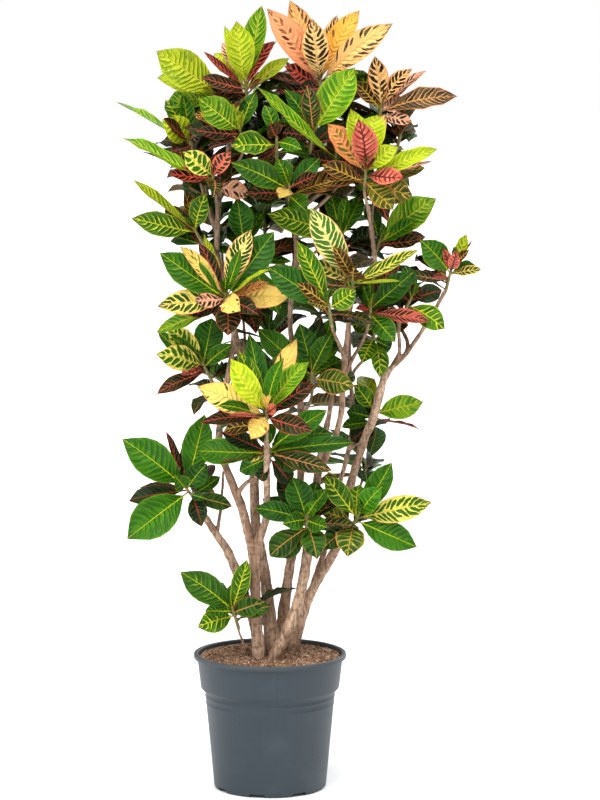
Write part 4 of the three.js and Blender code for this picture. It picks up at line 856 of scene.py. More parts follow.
# a leaf's colours: flesh between the ribs, blotches on it, ribs, margin; then how wide the coloured ribs
# are, how many of them show, how much of the flesh is blotched, from and to where across it, how strong the
# margin is, and the fine veins if there are any
leafKinds = {
    "green": ((52, 100, 12), (37, 82, 10), (196, 210, 34), (128, 166, 34),
              0.05, 0.35, 0.6, (0.1, 1), 0.5),
    "plain": ((56, 110, 12), (38, 88, 10), (206, 216, 36), (110, 150, 34),
              0.035, 0.1, 0.55, (0.1, 1), 0.5),
    "forest": ((40, 88, 14), (26, 62, 10), (176, 196, 44), (80, 116, 40),
               0.04, 0.22, 0.6, (0.1, 1), 0.4),
    "tawny": ((78, 108, 24), (38, 72, 15), (240, 184, 84), (234, 144, 80),
              0.09, 1, 0.7, (0.05, 1), 0.8, 0.1),
    "veined": ((58, 106, 12), (36, 80, 10), (218, 216, 50), (190, 196, 60),
               0.13, 0.75, 0.7, (0.05, 1), 0.6, 0.2),
    "cream": ((240, 226, 128), (66, 112, 38), (250, 238, 146), (246, 186, 124),
              0.1, 1, 1, (0.04, 0.94), 1),
    "trim": ((226, 216, 92), (50, 96, 16), (230, 220, 84), (244, 176, 112),
             0.1, 1, 1, (0.03, 0.86), 0.7),
    "lime": ((172, 188, 26), (134, 162, 20), (230, 228, 74), (208, 212, 52),
             0.085, 0.8, 0.6, (0.1, 0.95), 0.5),
    "fresh": ((112, 150, 20), (62, 116, 16), (214, 218, 60), (170, 190, 40),
              0.09, 0.65, 0.65, (0.05, 1), 0.5),
    "gold": ((252, 210, 104), (40, 74, 20), (252, 218, 116), (244, 146, 100),
             0.1, 0.7, 0.42, (0.4, 1), 0.9),
    "lace": ((250, 218, 124), (32, 66, 20), (250, 216, 116), (240, 142, 104),
             0.14, 1, 0.95, (0.14, 0.92), 1),
    "peach": ((253, 180, 104), (42, 46, 40), (252, 190, 116), (238, 122, 80),
              0.16, 0.9, 0.66, (0.35, 1), 0.5),
    "salmon": ((253, 162, 108), (84, 38, 28), (250, 180, 116), (228, 100, 74),
               0.12, 0.6, 0.5, (0, 0.55), 0.5),
    "ladder": ((252, 190, 116), (36, 28, 18), (252, 198, 124), (230, 108, 70),
               0.24, 1, 0.92, (0.06, 0.86), 0.9),
    "orange": ((255, 186, 72), (112, 76, 40), (252, 196, 92), (244, 132, 66),
               0.14, 0.8, 0.3, (0.3, 1.05), 0.4),
    "blush": ((248, 176, 134), (54, 44, 36), (246, 184, 150), (222, 108, 82),
              0.16, 1, 0.8, (0.1, 0.95), 0.6),
    "dark": ((28, 44, 14), (16, 24, 9), (222, 90, 72), (190, 76, 58),
             0.09, 0.75, 0.6, (0, 1), 0.7),
    "night": ((28, 52, 14), (16, 30, 9), (190, 66, 50), (110, 60, 38),
              0.05, 0.2, 0.6, (0, 1), 0.5),
    "dusk": ((34, 66, 18), (20, 34, 12), (238, 152, 92), (196, 92, 58),
             0.09, 0.65, 0.6, (0, 1), 0.7),
    "ember": ((46, 84, 14), (22, 50, 11), (232, 160, 80), (140, 100, 40),
              0.05, 0.3, 0.6, (0, 1), 0.6),
    "red": ((166, 58, 46), (30, 20, 13), (222, 90, 66), (208, 80, 60),
            0.17, 1, 0.92, (0.04, 0.92), 0.8),
    "umber": ((92, 74, 48), (44, 38, 26), (240, 168, 98), (222, 130, 84),
              0.12, 0.85, 0.7, (0, 1), 0.8),
    "olive": ((108, 106, 30), (62, 70, 20), (234, 194, 78), (216, 110, 68),
              0.11, 0.9, 0.7, (0, 1), 0.8),
    "rose": ((238, 110, 90), (40, 50, 26), (242, 120, 98), (240, 112, 90),
             0.14, 1, 0.95, (0.04, 0.86), 0.8),
    "bronze": ((98, 66, 26), (44, 36, 14), (236, 186, 70), (216, 110, 64),
               0.12, 0.85, 0.8, (0, 1), 0.8, 0.1),
    "coral": ((236, 124, 98), (208, 90, 72), (104, 34, 32), (236, 136, 98),
              0.3, 1, 0.5, (0, 1), 0.5, 0.6),
    "rust": ((226, 138, 78), (100, 104, 36), (246, 174, 98), (232, 116, 80),
             0.13, 0.8, 0.6, (0, 0.7), 0.7),
    "flame": ((206, 192, 84), (38, 68, 24), (248, 206, 104), (240, 116, 90),
              0.1, 1, 1, (0.03, 0.86), 1),
}
kindFields = ("flesh", "blotch", "rib", "edge", "ribs", "seen", "blotched", "across", "rim", "net")
hiddenKinds = {  # what grows behind and inside each sort of tip
    "green": ["green", "veined", "forest", "night"], "lime": ["lime", "green", "veined"],
    "gold": ["gold", "veined", "forest"], "dark": ["dark", "ember", "forest"],
    "peach": ["bronze", "ladder", "dark"], "coral": ["bronze", "red", "veined"],
}
# the old leaves low on a shoot, all of dark kinds: old leaves are darker, and these also paint the shade
# behind the front leaves
oldKinds = ["forest", "night", "dusk", "night", "forest", "bronze", "dark"]
leafForm = {
    "rows": (0, 0.1, 0.17, 0.28, 0.41, 0.55, 0.68, 0.8, 0.9, 0.96), "across": 4, "thick": 0.00045,
    "stalk": 0.0015, "stalkShare": 0.1, "arch": 0.09, "keel": 0.0011, "keelWidth": 0.0032,
    "steep": 28, "steepBow": -0.2,  # leaves seen edge-on are straighter
    "short": 60, "shortFold": 0.55, "wavyFrom": 90,  # short leaves are folded more and less wavy
    "fold": (0.15, 0.5), "wave": (0.03, 0.13), "waves": (2.0, 3.8), "twist": (-0.3, 0.3),
    "swerve": (-0.03, 0.03), "curl": (-0.04, 0.1), "ribGap": (0.0105, 0.0145), "ribCount": (6.5, 12.5),
    "shade": (0.8, 1.3), "ribsVary": (0.85, 1.2), "blotchedVaries": (-0.06, 0.06),
}
# how far left and right the leaves placed by rule may reach, in mm: height, left, right
spread = [
    (500, -110, 190), (650, -120, 200), (800, -170, 225), (900, -190, 260), (1000, -190, 300),
    (1150, -200, 290), (1300, -225, 285), (1400, -225, 285), (1460, -190, 235), (1540, -90, 190),
]
# half the leaf's width along the blade, as shares of the greatest
outline = [
    (0, 0.05), (0.06, 0.2), (0.2, 0.6), (0.36, 0.88), (0.53, 1.0), (0.69, 0.92), (0.83, 0.62), (0.92, 0.3),
    (0.97, 0.1), (1, 0),
]
shoot = {"foot": 3.8, "top": 2.6, "lap": 4, "sides": 12, "points": 14, "rings": 40, "swell": 0.07}
centreLeaves = {"count": 2, "reach": (34, 52), "width": (12, 17), "upright": 2.6, "rise": 10, "below": 6}
oldLeaves = {
    "count": 5, "dense": 9, "denseAbove": 1050, "rise": (-22, 22), "reach": (85, 150), "width": (34, 54),
    "low": (-24, -2), "behind": (8, 172), "aroundBehind": 80, "turn": (-25, 25),
    "bearingVaries": 60, "shareVaries": 0.4, "inside": 5,  # how far inside the solid model's box they end
}
growRule = {
    "swings": (0, -14, 14, -28, 28, -42, 42, -56, 56, -70, 70, -84, 84),
    "lifts": (0, 10, -10, 20, -20, 30, -30),
    "golden": 137.5, "goldenShare": 0.618, "foundWithin": 0.3, "turn": (-20, 20), "width": (30, 44),
    "spareBearing": (30, 150), "spareRise": (-5, 40), "spareReach": (80, 125),
    "roundBearing": (0, 40), "roundRise": (-10, 70), "riseVaries": (-6, 6),
    "roundReach": (95, 160), "reachVaries": (-10, 10), "roundWider": 4,
    "stand": (-20, 18), "stagger": 2, "seed": 101, "seedStep": 7, "kindSeed": 5000, "oldSeed": 9000,
}


def seededDraw(seed):
    state = seed
    while True:
        state = (state * 16807) % 2147483647
        yield state / 2147483647


def between(pair, share):
    return pair[0] + (pair[1] - pair[0]) * share


def aimed(bearing, rise, reach):
    flat = math.cos(math.radians(rise)) * reach
    turn = math.radians(bearing)
    return Vector((flat * math.cos(turn), flat * math.sin(turn), math.sin(math.radians(rise)) * reach))


def withinSpread(tip, offset):
    # turns a leaf that would reach out of the plant's spread further to the front or the back
    height = tip["at"][2] + offset.z
    i = next((k for k in range(1, len(spread)) if spread[k][0] >= height), len(spread) - 1)
    low, high = spread[i - 1], spread[i]
    share = min(max((height - low[0]) / (high[0] - low[0]), 0), 1)
    left = between((low[1], high[1]), share) - tip["at"][0]
    right = between((low[2], high[2]), share) - tip["at"][0]
    reach = math.hypot(offset.x, offset.y)
    across = min(max(min(max(offset.x, left), right), -reach), reach)
    return Vector((across, math.copysign(math.sqrt(reach ** 2 - across ** 2), offset.y), offset.z))


def readLeaves(rows):
    # leaves read from the photo, their faces to the viewer
    viewer = Vector((0, -1, 0))
    return [dict(offset=Vector((x, y, z)), width=width, facing=viewer, turn=turn, kind=kind)
            for x, y, z, width, turn, kind in rows]


def wishedLeaves(tip, seed):
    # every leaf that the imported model's rule tries to place, in its order
    wishes = readLeaves(tip.get("leaves", []))
    rule = growRule
    axis = shootAxis(tip)
    kinds = hiddenKinds[tip["tone"]]
    choose = seededDraw(seed + rule["kindSeed"])

    def wish(offset, width, turn):
        offset = withinSpread(tip, offset)
        kind = kinds[int(next(choose) * len(kinds))]
        wishes.append(dict(offset=offset, width=width, facing=axis, turn=turn, kind=kind))

    draw = seededDraw(seed)
    for i in range(tip.get("spare", 0)):
        bearing = between(rule["spareBearing"], (rule["goldenShare"] * (i + 1) + next(draw)) % 1)
        rise = between(rule["spareRise"], next(draw))
        offset = aimed(bearing, rise, between(rule["spareReach"], next(draw)))
        width = between(rule["width"], next(draw))
        wish(offset, width, between(rule["turn"], next(draw)))
    draw = seededDraw(seed)
    count = tip.get("round", 0)
    for i in range(count):
        bearing = rule["golden"] * i + between(rule["roundBearing"], next(draw))
        rise = between(rule["roundRise"], i / count) + between(rule["riseVaries"], next(draw))
        reach = between(rule["roundReach"], 1 - i / count) + between(rule["reachVaries"], next(draw))
        width = between(rule["width"], next(draw)) + rule["roundWider"]
        wish(aimed(bearing, rise, reach), width, between(rule["turn"], next(draw)))
    return wishes


def leafBase(tip, offset, order):
    # upright leaves start higher on the shoot
    axis = shootAxis(tip)
    upright = (offset.normalized().dot(axis) + 1) / 2
    height = between(growRule["stand"], upright) + growRule["stagger"] * (order % 3)
    return Vector(tip["at"]) + axis * height


def foundPoint(tip, wish, corners):
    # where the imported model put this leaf's point: the first swing that ends in one of its corners
    for lift in growRule["lifts"]:
        for swing in growRule["swings"]:
            point = Vector(tip["at"]) + wish["offset"] + Vector((0, swing, lift))
            if corners.find(point)[2] < growRule["foundWithin"]:
                return point
    return None


def cornersOf(node):
    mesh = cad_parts[node].data
    tree = KDTree(len(mesh.vertices))
    for vertex in mesh.vertices:
        tree.insert(vertex.co / mm, vertex.index)
    tree.balance()
    return tree


def newLeaf(base, point, wish, bow=1):
    # adds a leaf's run from its stalk's foot, in mm, and which way its face and its side look
    along = (point - base).normalized()
    front = (wish["facing"] - along * wish["facing"].dot(along)).normalized()
    over = along.cross(front)
    if over.z < 0:
        over.negate()
    angle = math.radians(wish["turn"])
    normal = (front * math.cos(angle) + over * math.sin(angle)).normalized()
    return dict(wish, base=base, chord=point - base, normal=normal, across=normal.cross(along), bow=bow)


def leavesOf(name, seed):
    tip = tips[name]
    corners = cornersOf("tip_" + name)
    leaves = []
    for order, wish in enumerate(wishedLeaves(tip, seed)):
        point = foundPoint(tip, wish, corners)
        if point is not None:
            base = leafBase(tip, wish["offset"], order)
            bow = leafForm["steepBow"] if abs(wish["turn"]) > leafForm["steep"] else 1
            leaves.append(newLeaf(base, point, wish, bow))
    for order, wish in enumerate(readLeaves(tip.get("filler", []))):
        base = leafBase(tip, wish["offset"], order)
        point = Vector(tip["at"]) + wish["offset"]
        leaves.append(newLeaf(base, point, wish))
    draw = seededDraw(seed + growRule["oldSeed"])
    return leaves + oldLeavesOf(tip, draw) + centreLeavesOf(tip, draw)


def oldLeavesOf(tip, draw):
    # darker leaves lower on the shoot, behind the others: partly their own older colour, partly painted
    # shade
    leaves = []
    axis = shootAxis(tip)
    low, high = (corner / mm for corner in cadBox)
    allRound = "round" in tip and tip["at"][1] > oldLeaves["aroundBehind"]
    for i in range(oldLeaves["dense" if tip["at"][2] > oldLeaves["denseAbove"] else "count"]):
        if allRound:
            bearing = growRule["golden"] * i + oldLeaves["bearingVaries"] * next(draw)
        else:
            share = (growRule["goldenShare"] * (i + 1) + next(draw) * oldLeaves["shareVaries"]) % 1
            bearing = between(oldLeaves["behind"], share)
        rise = between(oldLeaves["rise"], next(draw))
        offset = withinSpread(tip, aimed(bearing, rise, between(oldLeaves["reach"], next(draw))))
        base = Vector(tip["at"]) + axis * between(oldLeaves["low"], next(draw))
        width = between(oldLeaves["width"], next(draw))
        turn = between(oldLeaves["turn"], next(draw))
        kind = oldKinds[int(next(draw) * len(oldKinds))]
        point = Vector(tip["at"]) + offset
        if all(low[k] + oldLeaves["inside"] < point[k] < high[k] - oldLeaves["inside"] for k in range(3)):
            leaves.append(newLeaf(base, point, dict(facing=axis, turn=turn, width=width, kind=kind)))
    return leaves


def centreLeavesOf(tip, draw):
    # the youngest leaves, still folded upright
    leaves = []
    axis = shootAxis(tip)
    kind = hiddenKinds[tip["tone"]][0]
    base = Vector(tip["at"]) + axis * (shootAbove - centreLeaves["below"])
    for i in range(centreLeaves["count"]):
        lean = aimed(growRule["golden"] * i + 360 * next(draw), centreLeaves["rise"], 1)
        reach = between(centreLeaves["reach"], next(draw))
        along = (axis * centreLeaves["upright"] + lean).normalized() * reach
        width = between(centreLeaves["width"], next(draw))
        leaves.append(newLeaf(base, base + along, dict(facing=-lean, turn=0, width=width, kind=kind)))
    return leaves


def leafCard():
    # one closed leaf skin as a flat pattern: u along, v across, lift 1 above and -1 below
    columns = leafForm["across"]
    over = [2 * k / columns - 1 for k in range(columns + 1)]
    ring = [(v, 1) for v in over] + [(v, -1) for v in over[-2:0:-1]]
    mesh = bmesh.new()
    marks = [mesh.verts.layers.float.new(key) for key in ("cardU", "cardV", "cardLift", "cardUnder")]

    def corner(u, v, side):
        vert = mesh.verts.new((u, v * 0.3, side * 0.1))
        lift = side * math.sqrt(max(0, 1 - v * v))
        for mark, value in zip(marks, (u, v, lift, 0 if side > 0 else 1)):
            vert[mark] = value
        return vert

    rings = [[corner(u, v, side) for v, side in ring] for u in leafForm["rows"]]
    end = corner(1, 0, 0)
    for low, high in zip(rings, rings[1:]):
        for a in range(len(ring)):
            b = (a + 1) % len(ring)
            mesh.faces.new((low[a], low[b], high[b], high[a]))
    for a in range(len(ring)):
        mesh.faces.new((rings[-1][a], rings[-1][(a + 1) % len(ring)], end))
    mesh.faces.new(rings[0][::-1])
    for low, high in zip(rings, rings[1:]):
        for edge in (0, columns):
            mesh.edges.get((low[edge], high[edge])).smooth = False
    for face in mesh.faces:
        face.smooth = True
    return meshObject("leafCard", mesh)


def leafSeeds(name, leaves, seed):
    # a mesh of one point for each leaf, which carries the leaf's own measures and colours
    form = leafForm
    draw = random.Random(seed)
    rows = []
    for leaf in leaves:
        look = dict(zip(kindFields, leafKinds[leaf["kind"]]))
        length = leaf["chord"].length
        calm = 1.3 - min(1, form["wavyFrom"] / length) * 0.6
        fold = form["shortFold"] if length < form["short"] else draw.uniform(*form["fold"])
        wave = draw.uniform(*form["wave"]) * calm
        phase = draw.uniform(0, math.tau)
        swerve = draw.uniform(*form["swerve"]) * length * mm
        twist = draw.uniform(*form["twist"])
        curl = draw.uniform(*form["curl"]) * length * mm
        waves = draw.uniform(*form["waves"])
        shade = draw.uniform(*form["shade"])
        ribs = look["ribs"] * draw.uniform(*form["ribsVary"])
        blotched = look["blotched"] + draw.uniform(*form["blotchedVaries"])
        ribCount = length * mm / draw.uniform(*form["ribGap"])
        row = {
            "leafBase": leaf["base"] * mm, "leafChord": leaf["chord"] * mm,
            "leafFace": leaf["normal"], "leafSide": leaf["across"],
            "leafSize": (leaf["width"] / 2 * mm, form["arch"] * leaf["bow"] * length * mm, fold),
            "leafRipple": (wave, phase, swerve), "leafBend": (twist, curl, waves),
        }
        for part in ("flesh", "blotch", "rib", "edge"):
            strength = 1 if part == "rib" else shade
            row[part + "Colour"] = [min(1, c * strength) for c in srgb(*look[part])]
        row["leafMarks"] = (ribs, blotched, look.get("net", 0))
        row["leafAcross"] = (*look["across"], look["rim"])
        row["ribCount"] = min(max(ribCount, form["ribCount"][0]), form["ribCount"][1])
        row["ribsSeen"] = look["seen"]
        rows.append(row)
    for row in rows:
        row["leafChance"] = draw.random()
    data = bpy.data.meshes.new("seeds_" + name)
    data.from_pydata([tuple(row["leafBase"]) for row in rows], [], [])
    for key, first in rows[0].items():
        values = [row[key] for row in rows]
        if isinstance(first, (int, float)):
            data.attributes.new(key, "FLOAT", "POINT").data.foreach_set("value", values)
        else:
            layer = data.attributes.new(key, "FLOAT_VECTOR", "POINT")
            layer.data.foreach_set("vector", [c for value in values for c in value])
    return newObject("seeds_" + name, data)


def namedValue(tree, name, kind="FLOAT"):
    node = addNode(tree, "GeometryNodeInputNamedAttribute", {"data_type": kind}, Name=name)
    return Wire(tree, node.outputs["Attribute"])


def keepVector(tree, geometry, name, value):
    return outOf(tree, "GeometryNodeStoreNamedAttribute", {"data_type": "FLOAT_VECTOR", "domain": "POINT"},
                 Geometry=geometry, Name=name, Value=value)


def widthCurve(tree, along):
    # the leaf's outline as a curve
    node = addNode(tree, "ShaderNodeFloatCurve", Value=along)
    points = node.mapping.curves[0].points
    for x, y in outline[1:-1]:
        points.new(x, y)
    points[0].location, points[-1].location = outline[0], outline[-1]
    node.mapping.update()
    return Wire(tree, node.outputs[0])


def leafTree(leafSkin, shootSkin):
    # a card on each seed, bent into its leaf by formula, and the green shoot that they grow from
    tree, wires, leave = newTree("crotonLeaves", {
        "Card": ("Object", None),
        "Blade thickness": leafForm["thick"],
        "Stalk radius": leafForm["stalk"],
        "Stalk share": leafForm["stalkShare"],
        "Keel depth": leafForm["keel"],
        "Keel width": leafForm["keelWidth"],
        "Shoot foot": ("Vector", None),
        "Shoot top": ("Vector", None),
        "Shoot foot radius": shoot["foot"] * mm,
        "Shoot top radius": shoot["top"] * mm,
    })
    card = outOf(tree, "GeometryNodeObjectInfo", out=4, Object=wires["Card"])
    cards = outOf(tree, "GeometryNodeInstanceOnPoints", Points=wires["Geometry"], Instance=card)
    cards = outOf(tree, "GeometryNodeRealizeInstances", Geometry=cards)
    u, v, lift, under = (namedValue(tree, key) for key in ("cardU", "cardV", "cardLift", "cardUnder"))
    base, chord, face, side, size, ripple, bend = (
        namedValue(tree, "leaf" + key, "FLOAT_VECTOR")
        for key in ("Base", "Chord", "Face", "Side", "Size", "Ripple", "Bend"))
    halfWidth, arch, fold = size.parts()
    wave, phase, swerve = ripple.parts()
    twist, curl, waves = bend.parts()
    blade = (u - wires["Stalk share"]) / (1 - wires["Stalk share"])
    inside = blade.atLeast(0.0)
    away = v.absolute()
    stalk = wires["Stalk radius"] * (1 - blade.step(0.05, 0.3))
    width = (widthCurve(tree, inside) * halfWidth * blade.step(-0.01, 0.03)).atLeast(stalk)
    width = width * (1 - u.step(0.995, 1.0))
    stalkier = 1 - blade.step(0.0, 0.12)
    thick = wires["Blade thickness"] + (wires["Stalk radius"] - wires["Blade thickness"]) * stalkier
    nearMidrib = 1 - (away * width / wires["Keel width"]).atMost(1.0)
    keel = under * (1 - inside) * nearMidrib * wires["Keel depth"] * blade.step(0.0, 0.1)
    rippled = (u * waves * math.tau + phase + v * 1.3).sine() * wave * away ** 2 * width * 2
    raised = fold * (away ** 1.4) * width + rippled + lift * thick - keel
    bulge = 4 * u * (1 - u)
    bowed = arch * bulge + curl * inside * inside * (1 - inside) * 4
    turned = twist * (u - 0.4)
    cosine, sine = turned.math("COSINE"), turned.sine()
    across = side.times(cosine).plus(face.times(sine))
    upward = face.times(cosine).plus(side.times(sine * -1))
    place = base.plus(chord.times(u)).plus(face.times(bowed)).plus(side.times(swerve * bulge))
    place = place.plus(across.times(v * width)).plus(upward.times(raised))
    gauge = joinVector(tree, width, namedValue(tree, "ribCount"), namedValue(tree, "leafChance"))
    cards = keepVector(tree, cards, "leafPlace", joinVector(tree, blade, v, under))
    cards = keepVector(tree, cards, "leafGauge", gauge)
    leafy = outOf(tree, "GeometryNodeSetPosition", Geometry=cards, Position=place)
    line = outOf(tree, "GeometryNodeCurvePrimitiveLine", Start=wires["Shoot foot"], End=wires["Shoot top"])
    line = outOf(tree, "GeometryNodeResampleCurve", {"mode": "COUNT"}, Curve=line, Count=shoot["points"])
    run = outOf(tree, "GeometryNodeSplineParameter")
    radius = wires["Shoot foot radius"] + (wires["Shoot top radius"] - wires["Shoot foot radius"]) * run
    radius = radius * (1 + (run * shoot["rings"]).sine() * shoot["swell"]) * (1 - run.step(0.9, 1.0) * 0.8)
    green = dressed(tree, tube(tree, line, radius, shoot["sides"]), shootSkin, smooth=True)
    plug(tree, leave.inputs[0], joined(tree, green, dressed(tree, leafy, leafSkin)))
    return tree


def attribute(tree, name):
    return Wire(tree, addNode(tree, "ShaderNodeAttribute", {"attribute_name": name}).outputs["Vector"])


def whiteDraws(tree, x, y, z):
    spot = joinVector(tree, x, y, z)
    return outOf(tree, "ShaderNodeTexWhiteNoise", {"noise_dimensions": "3D"}, out=1, Vector=spot).parts()


def leafMaterial():
    material, tree, shader = newMaterial("crotonLeaf", 0.34, 0.14)
    s, v, under = attribute(tree, "leafPlace").parts()
    width, ribCount, chance = attribute(tree, "leafGauge").parts()
    ribs, blotched, net = attribute(tree, "leafMarks").parts()
    inner, outer, rim = attribute(tree, "leafAcross").parts()
    seen = attribute(tree, "ribsSeen").parts()[0]
    flesh, blotch, rib, edge = (
        attribute(tree, key) for key in ("fleshColour", "blotchColour", "ribColour", "edgeColour"))
    away = v.absolute()
    side = v.math("SIGN")
    drift = noise(tree, joinVector(tree, s * ribCount * 0.6, side, chance * 40)) - 0.5
    wobble = noise(tree, joinVector(tree, s * 22, v * 6, chance * 70)) - 0.5
    # the blade in cells between side ribs, which slant towards the leaf's point
    cells = (s - away * 0.13 - away * away * 0.06) * ribCount + side * 0.22
    cells = cells + drift * 1.5 + wobble * 0.3 + chance
    gap = 1 - (cells.math("FRACT") - 0.5).absolute() * 2  # 0 on a side rib, 1 midway between two
    ribDraw, ribLong, ribWide = whiteDraws(tree, (cells + 0.5).math("FLOOR"), side, chance)
    cellDraw, cellLong, cellAway = whiteDraws(tree, cells.math("FLOOR"), side * 3, chance)
    mid = (0.00135 - s * 0.0009) * (1 + ribs * 2.2)
    midrib = 1 - (away * width).step(mid * 0.55, mid * 1.25)
    reach = ribs * (1.5 - away * 0.95) * (0.6 + ribWide * 0.8) * (1 + wobble * 1.6)
    end = 0.3 + seen * 0.5 + ribLong * 0.35
    shown = (1 - (ribDraw - seen).step(-0.1, 0.1)) * (1 - away.step(end - 0.25, end))
    lateral = (1 - gap.step(reach * 0.5, reach * 1.3 + 0.05)) * shown
    forks = (1 - (1 - gap).step(reach * 0.3, reach + 0.06)) * away.step(0.45, 0.7)
    forks = forks * (cellDraw - 0.4).step(0.0, 0.05) * net
    # a blotch fills the cell between two ribs, all of it or a part, with an uneven outline
    cloud = noise(tree, joinVector(tree, cells * 1.6, v * 4, chance * 90), detail=1.0) - 0.5
    span = outer - inner
    centre = inner + span * (0.35 + cellAway * 0.3)
    long = (away - centre) / (span * (0.2 + blotched * 0.32) * (0.75 + cellLong * 0.5))
    across = (1 - gap) * (1.95 - blotched * 0.72)
    patch = 1 - (long * long + across * across + cloud * 1.3).step(0.85, 1.1)
    patch = patch * (1 - (cellDraw - blotched).step(-0.02, 0.02))
    shading = noise(tree, joinVector(tree, s * 5, v * 1.5, chance * 30), detail=1.0)
    colour = mixColours(tree, patch, flesh, blotch)
    # a faint painted highlight in the rib's colour on and beside each side rib
    colour = mixColours(tree, gap.step(0.45, 0.0) * 0.08 * seen, colour, rib)
    # painted light and shade: lighter on one side of each side rib and darker on the other, as a quilted
    # blade catches the light, fainter on pale leaves
    quiltShading = (cells * math.tau).sine() * (1 - away * 0.4)
    colour = colour.times(1 + quiltShading * (0.24 - flesh.parts()[0] * 0.3).atLeast(0.05))
    colour = mixColours(tree, away.step(0.88, 0.985) * rim, colour, edge)
    for share in (forks * 0.85, lateral * (ribs * 4 + 0.35).atMost(0.96), midrib * 0.95):
        colour = mixColours(tree, share, colour, rib)
    dark = mixColours(tree, 0.5, colour, srgb(12, 30, 4))
    colour = mixColours(tree, shading.step(0.35, 0.75) * 0.24, colour, dark)
    stalk = mixColours(tree, 0.45, rib, srgb(110, 110, 46))
    colour = mixColours(tree, 1 - s.step(0.0, 0.05), colour, stalk)
    dull = mixColours(tree, 0.5, colour, srgb(66, 88, 34))
    colour = mixColours(tree, under * 0.8, colour, dull)
    plug(tree, shader.inputs["Base Color"], colour)
    plug(tree, shader.inputs["Roughness"], 0.2 + shading * 0.16 + under * 0.3)
    puff = gap.step(0.0, 0.9) * (1 - away * 0.3) - midrib * 0.9 + wobble * 0.15
    bump(tree, shader, puff, 0.9, 0.0026)
    return material


shootColours = {"green": (104, 108, 48), "brown": (146, 128, 82)}


def shootMaterial():
    material, tree, shader = newMaterial("greenShoot", 0.5)
    mottle = noise(tree, outOf(tree, "ShaderNodeTexCoord", out=3), 160, 3)
    colour = layered(tree, shootColours, "green", {"brown": mottle.step(0.4, 0.65)})
    plug(tree, shader.inputs["Base Color"], colour)
    bump(tree, shader, mottle, 0.4, 0.0008)
    return material


def growLeaves():
    tree = leafTree(leafMaterial(), shootMaterial())
    card = leafCard()
    grown = 0
    for i, (name, tip) in enumerate(tips.items()):
        seed = growRule["seed"] + growRule["seedStep"] * i
        leaves = leavesOf(name, seed)
        axis = shootAxis(tip)
        foot = (Vector(tip["at"]) - axis * (shootBelow + shoot["lap"])) * mm
        top = (Vector(tip["at"]) + axis * shootAbove) * mm
        values = {"Card": card, "Shoot foot": foot, "Shoot top": top}
        mesh = shapeWith(leafSeeds(name, leaves, seed), tree, values)
        for key in ("leafBase", "leafChord", "leafFace", "leafSide", "leafSize", "leafRipple", "leafBend",
                    "cardU", "cardV", "cardLift", "cardUnder", "ribCount", "leafChance"):
            if key in mesh.attributes:
                mesh.attributes.remove(mesh.attributes[key])
        addPiece("leaves_" + name, mesh, "leaf_" + tip["tone"], "tip_" + name)
        grown += len(leaves)
    bpy.data.objects.remove(card)
    print("leaves grown:", grown, "on", len(tips), "tips")


potForm = {  # in mm, as (radius, height) where a pair
    "turns": 144, "wall": 2.6, "floor": 4, "height": 277, "baseRadius": 113.8, "baseMiddle": 60,
    "waistRadius": 132.4, "waistHeight": 198, "collarFoot": (141, 207), "collarTop": (147.7, 266),
    "lipRadius": 155, "lipHeight": 10, "corner": 7, "beads": (175, 189), "beadHeight": 0.7, "sharp": 38,
}
beadForm = ((-2.2, 0), (-1.2, 0.8), (0, 1), (1.2, 0.8), (2.2, 0))  # height and rise across a bead


def arc(cx, cz, radius, start, stop, steps=5):
    angles = [math.radians(start + (stop - start) * k / steps) for k in range(steps + 1)]
    return [(cx + radius * math.cos(a), cz + radius * math.sin(a)) for a in angles]


def wallAt(z):
    slope = (potForm["waistRadius"] - potForm["baseRadius"]) / potForm["waistHeight"]
    return potForm["baseRadius"] + slope * z


def potOutline():
    # from the middle of the base up the outside, over the lip and down the inside
    form = potForm
    corner, wall, waist = form["corner"], form["wall"], form["waistHeight"]
    (footR, footZ), (topR, topZ) = form["collarFoot"], form["collarTop"]
    lip, height = form["lipRadius"], form["height"]
    lipFoot = height - form["lipHeight"]
    path = [(0, 0), (form["baseMiddle"], 0), (wallAt(corner) - corner - 1, 0)]
    path += arc(wallAt(corner) - corner, corner, corner, -80, 0)
    for bead in form["beads"]:
        path += [(wallAt(bead + dz) + form["beadHeight"] * out, bead + dz) for dz, out in beadForm]
    path += [(wallAt(waist - 1), waist - 1), (wallAt(waist) + 0.8, waist + 0.6)]
    path += [(footR - 2.2, footZ - 2.4), (footR - 0.8, footZ - 1), (footR, footZ + 1)]
    path += [(topR, topZ - 1), (topR + 0.5, topZ + 0.2), (lip - 2.6, lipFoot)]
    path += arc(lip - 2, lipFoot + 2, 2, -60, 0, 3)
    path += arc(lip - 2.4, height - 2.4, 2.4, 0, 90, 4)
    path += arc(topR - wall + 3.2, height - 2.6, 2.6, 90, 170, 4)
    path += [(topR - wall, topZ - 2), (footR - wall, footZ + 1.5), (wallAt(waist) - wall, waist + 1)]
    inner, floor = form["baseRadius"] - wall, form["floor"]
    return path + [(inner, floor + 3), (inner - 3, floor), (0, floor)]


def turned(name, path, turns):
    # a closed body turned round Z from an outline that starts and ends on the axis
    mesh = bmesh.new()
    angles = [math.tau * k / turns for k in range(turns)]
    rings = []
    for radius, z in path:
        ring = [(radius * math.cos(a) * mm, radius * math.sin(a) * mm, z * mm) for a in angles]
        rings.append([mesh.verts.new(spot) for spot in (ring if radius else ring[:1])])
    for low, high in zip(rings, rings[1:]):
        for k in range(turns):
            j = (k + 1) % turns
            if len(low) == 1:
                mesh.faces.new((low[0], high[j], high[k]))
            elif len(high) == 1:
                mesh.faces.new((low[k], low[j], high[0]))
            else:
                mesh.faces.new((low[k], low[j], high[j], high[k]))
    bmesh.ops.recalc_face_normals(mesh, faces=mesh.faces)
    return meshObject(name, mesh)


potColours = {
    "slate": (48, 57, 64), "drag": (51, 61, 68), "cloud": (84, 92, 98), "lipSheen": (116, 114, 108),
}


